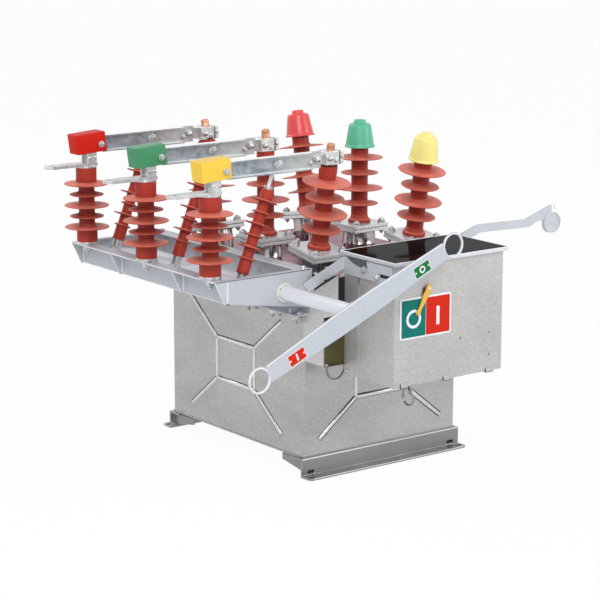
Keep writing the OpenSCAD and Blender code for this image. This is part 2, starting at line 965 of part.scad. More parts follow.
// Slanted bar from the frame's side to the band along the cover's top left edge
module mechanism_stay() {
  run = stay_end - stay_start;
  turn = atan2(run[1], run[0]);
  rise = atan2(run[2], norm([run[0], run[1]]));
  bar_skip = 10;
  pad_half = 14;
  band_low = cover_top_z - 52;
  band_edge = 8;
  window = [50, 10];
  window_z = band_low + 14;
  color("lightsteelblue")
    difference() {
      union() {
        translate(stay_start)
          rotate([0, -rise, turn])
            translate([bar_skip, -stay_plate / 2, -stay_width / 2])
              cube([norm(run), stay_plate, stay_width]);
        translate([stay_start[0] - pad_half, -frame_half_width - stay_plate, stay_start[2] - pad_half])
          cube([2 * pad_half, stay_plate, 2 * pad_half]);
        translate([cover_left_x - stay_plate, -cover_front_y + band_edge, band_low])
          cube([stay_plate, cover_depth - band_edge, cover_top_z - 3 - band_low]);
      }
      translate([cover_left_x - 10, -cover_front_y + 10, window_z])
        cube([20, window[0], window[1]]);
      translate([cover_left_x, -cover_front_y, cover_z])
        cube([cover_length, cover_depth + cover_gap, cover_height]);
    }
}

ring_ear_y = -cover_front_y + 5;

// Sheet box, open on top under its lid, with two ears for the front ring
module mechanism_cover() {
  ear_plate_x = 3;
  ear_shift = 6;
  ear_depth = 12;
  ear_drop = 20;
  color("silver") {
    difference() {
      translate([cover_left_x, -cover_front_y, cover_z])
        cube([cover_length, cover_depth, cover_height]);
      translate([cover_left_x + cover_wall, -cover_front_y + cover_wall, cover_z + cover_wall])
        cube([cover_length - 2 * cover_wall, cover_depth - 2 * cover_wall, cover_height]);
    }
    for (side = [-1, 1])
      translate([front_ring_x + side * ear_shift - ear_plate_x / 2, -cover_front_y, cover_z - ear_drop])
        cube([ear_plate_x, ear_depth, ear_drop + 0.5]);
    translate([front_ring_x - ear_shift, ring_ear_y, front_ring_z + front_ring_r - ring_slack])
      rotate([0, 90, 0])
        cylinder(r = ring_bar_r, h = 2 * ear_shift);
  }
}

module mechanism_lid() {
  right_lip = 14;
  left_lip = 6;
  front_lip = 8;
  back_lip = 12;
  color("black")
    translate([cover_left_x - left_lip, -cover_front_y - front_lip, cover_top_z])
      cube([cover_length + left_lip + right_lip, cover_depth + front_lip + back_lip, lid_plate]);
}

module sign_plate() {
  edge_x = 17.5;
  top_drop = 89.5;
  plate = 2;
  color("teal")
    translate([cover_left_x + edge_x, -cover_front_y - plate, cover_top_z - top_drop - sign_height])
      cube([sign_length, plate, sign_height]);
}

// Pointer in front of the sign, hanging from its hub
module indicator_pointer() {
  pivot_x = cover_left_x + 111.7;
  pivot_z = cover_top_z - 69;
  swing = 30;
  plate = 3;
  half = 4;
  hub_radius = 6;
  hub_reach = 11;
  color("khaki")
    translate([pivot_x, -cover_front_y, pivot_z]) {
      rod_y(0, 0, -hub_reach, -running_gap, hub_radius);
      rotate([0, swing, 0])
        translate([-half, -hub_reach + 1, -pointer_length])
          cube([2 * half, plate, pointer_length]);
    }
}

// Cranked flat arm that ends in a dished disc
module charging_handle() {
  pivot = [cover_right_x - 25, -cover_back_y + 25, cover_top_z - 68];
  plate = 8;
  hub_r = 11;
  disc_at = [420, 67];
  disc_r = 30;
  disc_h = 10;
  disc_wall = 3;
  arm = [
    [-12, -12], [12, -12], [116, 57], [151, 68], [333, 63], [420, 96],
    [420, 118], [321, 86], [144, 91], [66, 67], [-12, 12]
  ];
  color("lightsteelblue")
    translate(pivot) {
      rod_y(0, 0, -cover_back_y + running_gap - pivot[1], 12, hub_r);
      wall_plate(0, plate, arm);
      difference() {
        rod_y(disc_at[0], disc_at[1], -disc_h, plate / 2, disc_r);
        rod_y(disc_at[0], disc_at[1], -disc_h - 1, 0, disc_r - disc_wall);
      }
    }
}

// Ring of round wire lying in X and Y
module wire_ring(radius, wire) {
  rotate_extrude()
    translate([radius, 0])
      circle(r = wire);
}

module pull_ring_front() {
  color("dimgray")
    translate([front_ring_x, ring_ear_y, front_ring_z])
      rotate([0, 90, 0])
        wire_ring(front_ring_r, ring_wire);
}

module pull_ring_side() {
  ring_y = -cover_back_y + 24;
  color("dimgray")
    translate([side_ring_x, ring_y, side_ring_z])
      rotate([90, 0, 0])
        wire_ring(side_ring_r, ring_wire);
}

rail_front();
rail_back();
tank_floor();
tank_walls();
tank_roof();
bushing_necks();
bushing_flanges();
bushings_line();
bushings_load();
cap_yellow();
cap_green();
cap_red();
contacts();
frame_front();
frame_side_front();
frame_side_back();
frame_rear();
shaft_bearings();
posts();
post_fittings();
terminals();
blade_yellow();
blade_green();
blade_red();
hinge_box_yellow();
hinge_box_green();
hinge_box_red();
pull_insulator_yellow();
pull_insulator_green();
pull_insulator_red();
pull_fittings_yellow();
pull_fittings_green();
pull_fittings_red();
operating_shaft();
operating_lever();
mechanism_neck();
mechanism_stay();
mechanism_cover();
mechanism_lid();
sign_plate();
indicator_pointer();
charging_handle();
pull_ring_front();
pull_ring_side();
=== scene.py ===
"""Looks of an outdoor 12 kV circuit recloser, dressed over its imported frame.

Places come from the frame's boxes. Lengths are in millimetres, and Build.piece() turns them into metres.
"""
import json
import math
import random

import bmesh
import bpy
from mathutils import Matrix, Vector


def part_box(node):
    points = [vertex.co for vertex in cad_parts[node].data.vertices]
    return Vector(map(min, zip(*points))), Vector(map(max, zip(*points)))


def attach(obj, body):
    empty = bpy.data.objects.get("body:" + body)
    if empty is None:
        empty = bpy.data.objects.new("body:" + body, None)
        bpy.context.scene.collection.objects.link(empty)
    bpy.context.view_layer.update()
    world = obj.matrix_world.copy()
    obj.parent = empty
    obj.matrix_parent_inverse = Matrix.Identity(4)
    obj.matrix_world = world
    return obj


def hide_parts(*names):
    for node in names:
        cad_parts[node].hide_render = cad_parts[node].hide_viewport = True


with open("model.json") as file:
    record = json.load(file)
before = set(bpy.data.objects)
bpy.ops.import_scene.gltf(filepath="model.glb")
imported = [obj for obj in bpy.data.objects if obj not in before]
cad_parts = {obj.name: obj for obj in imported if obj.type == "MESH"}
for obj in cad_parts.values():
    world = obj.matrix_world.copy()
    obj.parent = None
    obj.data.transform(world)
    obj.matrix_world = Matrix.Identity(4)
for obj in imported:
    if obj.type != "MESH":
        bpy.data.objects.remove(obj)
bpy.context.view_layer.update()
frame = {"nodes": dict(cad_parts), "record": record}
MM = 0.001
PHASES = {"yellow": -1, "green": 0, "red": 1}
PITCH = 300  # between the phases' posts
SPREAD = 245  # between the phases' flanges
LEAN = math.radians(10)  # of the outer bushings
FLANGE_RISE = 67  # from the roof to a flange's top
FLANGE_STACK = 20  # thickness of a flange's two plates
LOAD_RUBBER, LINE_RUBBER = 219, 237  # from a flange to the end of its bushing's rubber
STUD_TOP = 298  # from a flange to the top of a copper stud
LEVER_SLOPE = math.radians(23.2)
LEVER_REACH = (332, 348)  # from the shaft to the lever's two end rings
POINTER_SWING = math.radians(30)
HOOD_TILT = math.radians(3.8)
HINGE_BACK, HINGE_UP = 52, 21  # from a hinge box's low corner to its pin
PIN_REACH = 208  # from a blade's hinge to its pull insulator's pin
CRANK_PIN = (-108.5, 22)  # from the shaft to a crank's pin, along X and Z
COVER_HEIGHT = 326  # of the mechanism's cover, without its tabs
LEFT, RIGHT, FRONT, BACK, DOWN = (-1, 0, 0), (1, 0, 0), (0, -1, 0), (0, 1, 0), (0, 0, -1)
FACING_FRONT = Matrix((RIGHT, DOWN, BACK)).to_4x4()  # X right, Y up and Z to the front
SWAP_Y_Z = Matrix(((1, 0, 0), (0, 0, 1), (0, 1, 0))).to_4x4()  # for outlines in X and Z
chance = random.Random(7)


def corners(node):
    """Lowest and highest corner of a CAD node, in millimetres."""
    return [Vector(v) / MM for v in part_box(node)]


def middle(node, axis):
    low, high = corners(node)
    return (low[axis] + high[axis]) / 2


def hinge(name):
    """X, Y and Z of a blade's hinge pin."""
    low = corners("hinge_box_" + name)[0]
    return low.x + HINGE_BACK, middle("hinge_box_" + name, 1), low.z + HINGE_UP


def placed(name, data):
    """New object in the scene."""
    item = bpy.data.objects.new(name, data)
    bpy.context.scene.collection.objects.link(item)
    return item


roof_low, roof_high = corners("tank_roof")
cover_low, cover_high = corners("mechanism_cover")
side_low, side_high = corners("frame_side_front")
rear_low, rear_high = corners("frame_rear")
neck_low = corners("mechanism_neck")[0]
LINE_X, LOAD_X = middle("bushings_line", 0), middle("bushings_load", 0)
FRAME_TOP = side_high.z
SHAFT = Vector((middle("shaft_bearings", 0), 0, middle("shaft_bearings", 2)))
LEVER_Y = middle("operating_lever", 1)
COVER_BASE = cover_high.z - COVER_HEIGHT


# ---------- node trees ----------


class Tree:
    """A node tree under construction, with short calls for its nodes."""

    def __init__(self, owner):
        owner.use_nodes = True
        self.nodes, self.links = owner.node_tree.nodes, owner.node_tree.links

    def plug(self, value, socket):
        """Joins an output to a socket, or sets the socket to a value. Colours come without alpha."""
        if hasattr(value, "is_linked"):
            self.links.new(value, socket)
        else:
            socket.default_value = (*value, 1) if socket.type == "RGBA" else value

    def fill(self, node, **inputs):
        for name, value in inputs.items():
            self.plug(value, node.inputs[name.replace("_", " ")])
        return node

    def node(self, kind, *values, **inputs):
        """A new node, with its first inputs filled in order and the others by name."""
        node = self.nodes.new("ShaderNode" + kind)
        for value, socket in zip(values, node.inputs):
            self.plug(value, socket)
        return self.fill(node, **inputs)

    def math(self, kind, first, second=0.0):
        node = self.node("Math", first, second)
        node.operation = kind
        return node.outputs[0]

    def seen_directly(self):
        """1 for camera, glossy and transmission rays, and 0 for the rays that light the object."""
        rays = self.node("LightPath").outputs
        sharp = self.math("MAXIMUM", rays["Is Camera Ray"], rays["Is Glossy Ray"])
        return self.math("MAXIMUM", sharp, rays["Is Transmission Ray"])

    def blend(self, amount, first, second):
        """Mix of two shader nodes."""
        return self.node("MixShader", amount, first.outputs[0], second.outputs[0]).outputs[0]


class Shade(Tree):
    """A material under construction, in the object's own coordinates."""

    def __init__(self, name, colour, rough, metal=0.0, **sockets):
        self.material = bpy.data.materials.new(name)
        super().__init__(self.material)
        self.main = self.nodes["Principled BSDF"]
        self.fill(self.main, Base_Color=colour, Roughness=rough, Metallic=metal, **sockets)
        self.coords = self.node("TexCoord").outputs
        self.soft = None

    def stretched(self, scale):
        return self.node("Mapping", Scale=scale, Vector=self.coords["Object"]).outputs["Vector"]

    def noise(self, scale, detail, rough, stretch=(1, 1, 1), distort=0.0):
        place = self.stretched(stretch)
        node = self.node("TexNoise", Scale=scale, Detail=detail, Roughness=rough, Distortion=distort, Vector=place)
        return node.outputs["Fac"]

    def cells(self, scale):
        return self.node("TexVoronoi", Scale=scale, Vector=self.stretched((1, 1, 1))).outputs["Color"]

    def span(self, source, low, high, from_low=0.3, from_high=0.7):
        """The source's range from_low to from_high, laid out from low to high."""
        node = self.node("MapRange", Value=source, From_Min=from_low, From_Max=from_high, To_Min=low, To_Max=high)
        return node.outputs["Result"]

    def mix(self, amount, first, second, blend="MIX"):
        node = self.nodes.new("ShaderNodeMix")
        node.data_type, node.blend_type = "RGBA", blend
        for value, index in ((amount, 0), (first, 6), (second, 7)):
            self.plug(value, node.inputs[index])
        return node.outputs[2]

    def split(self, source, index):
        return self.node("SeparateXYZ", self.coords[source]).outputs[index]

    def hollows(self, reach):
        """0 in corners and 1 on open surfaces."""
        node = self.node("AmbientOcclusion", Distance=reach)
        node.samples = 6
        return node.outputs["AO"]

    def edges(self, radius):
        """1 along sharp edges and 0 on flat faces."""
        soft = self.node("Bevel", Radius=radius)
        soft.samples = 4
        self.soft = soft.outputs[0]
        dot = self.node("VectorMath", self.soft, self.node("NewGeometry").outputs["Normal"])
        dot.operation = "DOT_PRODUCT"
        return self.span(dot.outputs["Value"], 1.0, 0.0, 0.86, 0.995)

    def rubbed(self, shade, colour, amount, radius=0.0015):
        """The shade, worn towards a colour along sharp edges."""
        return self.mix(self.math("MULTIPLY", self.edges(radius), amount), shade, colour)

    def finish(self, colour, rough, height, strength, distance):
        """Joins colour, roughness and bump to the main shader."""
        bump = self.node("Bump", Height=height, Strength=strength, Distance=distance)
        if self.soft:
            self.fill(bump, Normal=self.soft)
        self.fill(self.main, Base_Color=colour, Roughness=rough, Normal=bump.outputs["Normal"])
        return self.material


# ---------- camera, light and stage ----------


def make_camera():
    data = bpy.data.cameras.new("camera")
    data.lens, data.sensor_width, data.clip_end = 136.5, 36.0, 100
    camera = placed("camera", data)
    place, target = Vector((-3.8834, -5.0554, 1.7988)), Vector((0.3222, 0.4831, 0.2771))
    aim = (target - place).to_track_quat("-Z", "Y")
    roll = Matrix.Rotation(math.radians(0.095), 4, "Z")
    camera.matrix_world = Matrix.Translation(place) @ aim.to_matrix().to_4x4() @ roll
    bpy.context.scene.camera = camera


def make_world():
    """White where it is seen, and a dimmer, cooler sky where it lights the object."""
    world = bpy.data.worlds.new("studio")
    tree = Tree(world)
    tree.nodes.clear()
    sky = tree.node("Background", Color=(0.93, 0.96, 1.0), Strength=0.55)
    white = tree.node("Background", Color=(1, 1, 1), Strength=1.0)
    tree.node("OutputWorld", Surface=tree.blend(tree.seen_directly(), sky, white))
    bpy.context.scene.world = world


def make_floor():
    """Matte floor that looks white and keeps a little of the object's shadow."""
    material = bpy.data.materials.new("floor")
    tree = Tree(material)
    tree.nodes.clear()
    matte = tree.node("BsdfDiffuse", Color=(0.93, 0.93, 0.93))
    glow = tree.node("Emission", Strength=1.0)
    share = tree.math("MULTIPLY", tree.seen_directly(), 0.955)
    tree.node("OutputMaterial", Surface=tree.blend(share, matte, glow))
    mesh = bpy.data.meshes.new("floor")
    far = 40
    mesh.from_pydata([(-far, -far, 0), (far, -far, 0), (far, far, 0), (-far, far, 0)], [], [(0, 1, 2, 3)])
    mesh.materials.append(material)
    floor = placed("floor", mesh)
    floor.location.z = -0.0005


def make_lamp(name, place, size, watts):
    """Round soft lamp that faces the middle of the object."""
    data = bpy.data.lights.new(name, "AREA")
    data.shape, data.size, data.energy = "DISK", size, watts
    lamp = placed(name, data)
    lamp.location = place
    lamp.rotation_euler = (Vector((0, 0, 0.45)) - Vector(place)).to_track_quat("-Z", "Y").to_euler()


# ---------- materials ----------


def tones(colour, *factors):
    return [tuple(min(1, c * f) for c in colour) for f in factors]


def brushed_steel(name, colour, rough, smear, metal=1.0, tint=(1, 1, 1)):
    """Mill-finished sheet: short level streaks, cloudy film marks, a mottled grain and pale edges."""
    s = Shade(name, colour, rough, metal, Specular_Tint=tint)
    dark, pale, dull, bright, edge = tones(colour, 1 - smear, 1 + smear * 0.8, 0.80, 1.22, 1.25)
    clouds = s.noise(3, 5, 0.6, stretch=(1, 1, 2.5), distort=0.5)
    marks = s.noise(26, 8, 0.74, stretch=(1, 1, 6))
    streaks = s.noise(90, 3, 0.5, stretch=(1, 1, 40))
    grain = s.noise(70, 4, 0.75, stretch=(1, 1, 2.5))
    tone = s.mix(s.span(clouds, 0, 1, 0.35, 0.65), dark, pale)
    tone = s.mix(s.span(marks, 0, 0.45, 0.5, 0.70), tone, dull)
    tone = s.mix(s.span(grain, 0, 0.6, 0.50, 0.68), tone, bright)
    tone = s.mix(s.span(grain, 0.6, 0, 0.32, 0.50), tone, dull)
    gloss = s.span(s.math("ADD", clouds, marks), rough - 0.06, rough + 0.10, 0.7, 1.3)
    return s.finish(s.rubbed(tone, edge, 0.6), gloss, s.math("ADD", streaks, marks), 0.07, 0.0005)


def galvanised(name, colour, rough=0.42, metal=0.2, worn=1.3):
    """Silver paint over zinc: faint crystals, soft dirt and rubbed edges."""
    s = Shade(name, colour, rough, metal)
    dirt, bare = tones(colour, 0.88, worn)
    clouds = s.noise(9, 5, 0.6)
    shade = s.mix(0.06, colour, s.cells(110.0), "SOFT_LIGHT")
    shade = s.mix(s.span(clouds, 0, 0.30, 0.4, 0.7), shade, dirt)
    gloss = s.span(clouds, rough - 0.07, rough + 0.10)
    return s.finish(s.rubbed(shade, bare, 0.8, 0.002), gloss, s.noise(260, 3, 0.5), 0.10, 0.0004)


def silicone(name, colour):
    """Matt insulator rubber: roots darkened as painted shade, tops lighter orange, partly dust and partly painted light
    from above, with a faint mould grain.
    """
    s = Shade(name, colour, 0.45, Specular_IOR_Level=0.3)
    dust_and_top_light, root_painted_shade, rim = (0.80, 0.215, 0.15), (0.24, 0.022, 0.014), (0.66, 0.17, 0.11)
    dust = s.noise(30, 5, 0.6)
    upward = s.span(s.split("Normal", 2), 0, 1, 0.35, 0.95)
    # Up-facing surfaces go lighter orange: partly dust, partly painted light falling from above.
    shade = s.mix(s.math("MULTIPLY", upward, s.span(dust, 0.55, 1.0, 0.3, 0.6)), colour, dust_and_top_light)
    # Ambient occlusion darkens the roots between the sheds: painted shade.
    shade = s.mix(s.span(s.hollows(0.045), 0.85, 0, 0.30, 0.85), shade, root_painted_shade)
    shade = s.rubbed(shade, rim, 0.35, 0.0012)
    return s.finish(shade, s.span(dust, 0.38, 0.55), s.noise(500, 2, 0.5), 0.08, 0.0003)


def moulded(name, colour, rough=0.36, level=0.5):
    """Moulded plastic: small sink marks in the gloss, colour drift and polished edges."""
    s = Shade(name, colour, rough, Specular_IOR_Level=level)
    deep, bright = tones(colour, 0.88, 1.25)
    shade = s.mix(s.span(s.noise(14, 3, 0.5), 0, 0.6, 0.35, 0.7), colour, deep)
    shade = s.rubbed(shade, tuple(0.8 * c + 0.12 for c in bright), 0.45)
    gloss = s.span(s.noise(45, 3, 0.5), rough - 0.05, rough + 0.08)
    return s.finish(shade, gloss, s.noise(320, 3, 0.5), 0.05, 0.0004)


def cast_metal(name, colour, rough=0.38, metal=0.85, spread=0.28):
    """Tinned or cast metal: mottled, with bright and dull spots."""
    s = Shade(name, colour, rough, metal)
    dull, bright, edge = tones(colour, 1 - spread, 1 + spread * 0.5, 1.5)
    spots = s.noise(70, 6, 0.7, distort=0.6)
    shade = s.rubbed(s.mix(s.span(spots, 0, 1, 0.35, 0.68), dull, bright), edge, 0.6, 0.001)
    return s.finish(shade, s.span(spots, rough + 0.12, rough - 0.10), spots, 0.12, 0.0008)


def gloss_paint(name, colour, rough=0.12, index=1.45):
    """Smooth paint or film, with a slight wave in it and a few scuffs."""
    s = Shade(name, colour, rough, IOR=index)
    wave = s.noise(18, 2, 0.5)
    scuffs = s.noise(55, 5, 0.7, stretch=(1, 4, 1), distort=0.8)
    deep, worn = tones(colour, 0.82, 1.25)
    shade = s.mix(s.span(wave, 0, 0.5), colour, deep)
    shade = s.mix(s.span(scuffs, 0, 0.4, 0.6, 0.75), shade, worn)
    return s.finish(shade, s.span(s.noise(60, 4, 0.6), rough - 0.03, rough + 0.06), wave, 0.03, 0.001)


def blade_zinc(name):
    """Zinc channel: near-white flanges, a painted highlight that lifts them out of the top flange's shade, and a
    blue-grey web that clears towards the contact.
    """
    s = Shade(name, (0.5, 0.52, 0.54), 0.32, 0.55)
    blotches = s.noise(22, 5, 0.62, stretch=(1, 1, 1.6), distort=1.4)
    near = s.mix(s.span(blotches, 0, 1, 0.38, 0.66), (0.20, 0.235, 0.27), (0.42, 0.45, 0.48))
    far = s.mix(s.span(blotches, 0, 1, 0.35, 0.68), (0.36, 0.38, 0.39), (0.52, 0.53, 0.53))
    web = s.mix(s.span(s.split("Object", 0), 0, 1, -0.40, -0.31), near, far)
    on_web = s.span(s.math("ABSOLUTE", s.split("Normal", 1)), 0, 1, 0.4, 0.7)
    s.fill(s.main, Metallic=s.math("MULTIPLY", on_web, 0.55))
    # Every face but the web's is near white: a painted highlight on the flanges.
    shade = s.rubbed(s.mix(on_web, (0.90, 0.90, 0.89), web), (0.92, 0.92, 0.92), 0.7)
    return s.finish(shade, s.span(blotches, 0.26, 0.42), s.noise(160, 3, 0.6), 0.08, 0.0004)


M, SLOT_OF = {}, {}


def looks(make, *rows):
    """Materials from one maker: name, the record's slot for it, which is only stored in SLOT_OF, and the maker's own
    values.
    """
    for name, slot, *values in rows:
        M[name], SLOT_OF[name] = make(name, *values), slot


looks(
    brushed_steel,
    ("stainless", "stainless", (0.44, 0.435, 0.43), 0.34, 0.13),
    # Lighter steel for the beads' crowns: a painted highlight.
    ("bead_steel", "stainless", (0.66, 0.65, 0.64), 0.24, 0.06),
    ("cover_steel", "stainless", (0.52, 0.51, 0.50), 0.40, 0.10, 0.35),
    ("neck_steel", "stainless", (0.60, 0.59, 0.58), 0.40, 0.06, 0.35),
    ("cover_trim", "stainless", (0.62, 0.57, 0.57), 0.35, 0.05, 0.4),
    # Mauve base and grazing tint: a painted reflection of the red insulators in the mirror-like steel.
    ("mirror_roof", "stainless", (0.42, 0.385, 0.39), 0.10, 0.08, 1.0, (0.60, 0.44, 0.48)),
    ("polished", "polished", (0.70, 0.71, 0.73), 0.28, 0.06, 0.4),
    ("lid_steel", "stainless", (0.70, 0.71, 0.73), 0.35, 0.05, 0.3),
)
looks(
    galvanised,
    ("galvanised", "galvanised", (0.54, 0.565, 0.60), 0.42, 0.08),
    ("lever_paint", "galvanised", (0.525, 0.56, 0.61), 0.36, 0.08),
    ("rail_zinc", "galvanised", (0.285, 0.28, 0.275), 0.34, 0.8, 2.1),
    ("shaft_white", "shaft_white", (0.78, 0.80, 0.85), 0.35, 0.05, 1.15),
    ("cream", "shaft_white", (0.74, 0.72, 0.63), 0.45, 0.0, 1.2),
    # Dark olive: partly olive zinc, partly painted shade.
    ("olive", "galvanised", (0.125, 0.115, 0.045), 0.32, 0.5, 1.4),
)
looks(silicone, ("silicone", "silicone", (0.41, 0.036, 0.018)))
looks(
    moulded,
    ("cap_yellow", "cap_yellow", (0.97, 0.84, 0.27), 0.34),
    ("cap_green", "cap_green", (0.10, 0.50, 0.30), 0.34),
    ("cap_red", "cap_red", (0.82, 0.075, 0.072), 0.28),
    ("box_yellow", "box_yellow", (0.92, 0.59, 0.060), 0.36, 0.3),
    ("box_green", "box_green", (0.055, 0.275, 0.120), 0.36, 0.3),
    ("box_red", "box_red", (0.62, 0.014, 0.004), 0.45, 0.15),
    ("gasket", "lid_black", (0.018, 0.018, 0.020), 0.6),
    ("sealant", "shaft_white", (0.85, 0.84, 0.80), 0.5),
    # Near black for gaps, holes, slots and openings: painted shade.
    ("blackout", "lid_black", (0.012, 0.011, 0.010), 0.5),
)
looks(
    cast_metal,
    # Near-black strips beside the tank's beads: painted shade.
    ("crease", "stainless", (0.045, 0.042, 0.038), 0.45, 0.4),
    ("weld", "galvanised", (0.88, 0.89, 0.92), 0.35, 0.1, 0.12),
    ("contact_metal", "contact_metal", (0.68, 0.69, 0.68)),
    ("bright_zinc", "polished", (0.62, 0.63, 0.64), 0.24, 0.9, 0.3),
    ("nut_steel", "polished", (0.50, 0.51, 0.52), 0.32, 0.7, 0.25),
    ("dark_steel", "dark_wire", (0.13, 0.13, 0.14), 0.4, 0.8),
    ("dark_wire", "dark_wire", (0.30, 0.30, 0.29), 0.28),
    ("copper", "contact_metal", (0.62, 0.29, 0.18), 0.34, 0.75, 0.25),
)
looks(
    gloss_paint,
    # Near white for strips along edges, which are painted highlights, and for the lever's white hoops.
    ("edge_paint", "galvanised", (0.90, 0.91, 0.93), 0.3, 1.3),
    ("handle_paint", "galvanised", (0.60, 0.62, 0.655), 0.35, 1.35),
    ("lid_black", "lid_black", (0.006, 0.008, 0.008), 0.04, 1.035),
    ("glass_green", "lid_black", (0.10, 0.115, 0.10), 0.2),
    ("sign_white", "shaft_white", (0.88, 0.89, 0.90), 0.4, 1.3),
    ("sign", "sign", (0.008, 0.18, 0.155), 0.4, 1.2),
    ("sign_red", "box_red", (0.68, 0.024, 0.008), 0.4, 1.2),
    ("sticker_green", "cap_green", (0.012, 0.19, 0.05), 0.4, 1.2),
    ("pointer", "pointer", (0.86, 0.50, 0.06), 0.3),
    ("brown", "dark_wire", (0.08, 0.025, 0.015), 0.35),
)
looks(blade_zinc, ("blade_zinc", "contact_metal"))
FINISHES = {
    "tank_roof": "mirror_roof", "bushing_necks": "mirror_roof", "rail_front": "rail_zinc", "rail_back": "rail_zinc",
    "tank_floor": "rail_zinc", "mechanism_cover": "cover_steel", "mechanism_neck": "neck_steel",
    "mechanism_lid": "lid_steel", "operating_lever": "lever_paint", "charging_handle": "handle_paint",
    "shaft_bearings": "cream", "sign_plate": "sign_white", **{"blade_" + phase: "blade_zinc" for phase in PHASES},
}


def dress_frame():
    """Materials of the CAD nodes: the one in FINISHES, or else the one of the record's slot."""
    slots = {row["node"]: row["material_slot"] for row in frame["record"]["subparts"]}
    for name, item in frame["nodes"].items():
        item.data.materials.clear()
        item.data.materials.append(M[FINISHES.get(name, slots[name])])


# ---------- mesh tools ----------


def moved(x, y, z=0.0):
    return Matrix.Translation((x, y, z))


def stand(place, axis=(0, 0, 1)):
    """Frame at a place with its Z along an axis."""
    return Matrix.Translation(place) @ Vector(axis).to_track_quat("Z", "Y").to_matrix().to_4x4()


def at_flange(row_x, phase):
    """Frame on a bushing flange, with Z along the bushing."""
    return moved(row_x, phase * SPREAD, roof_high.z + FLANGE_RISE) @ Matrix.Rotation(-phase * LEAN, 4, "X")


def flanges():
    """Row, phase and frame of each of the six flanges."""
    for row_x in (LINE_X, LOAD_X):
        for phase in PHASES.values():
            yield row_x, phase, at_flange(row_x, phase)


def circle(radius, steps, turn=0.0):
    angles = [2 * math.pi * i / steps + turn for i in range(steps)]
    return [(radius * math.cos(a), radius * math.sin(a)) for a in angles]


def rounded(half_x, half_y, radius, steps=5, at=(0, 0)):
    """Outline of a rectangle with round corners."""
    points = []
    for k, (sx, sy) in enumerate(((1, 1), (-1, 1), (-1, -1), (1, -1))):
        for i in range(steps + 1):
            a = math.pi / 2 * (k + i / steps)
            x, y = sx * (half_x - radius) + radius * math.cos(a), sy * (half_y - radius) + radius * math.sin(a)
            points.append((x + at[0], y + at[1]))
    return points


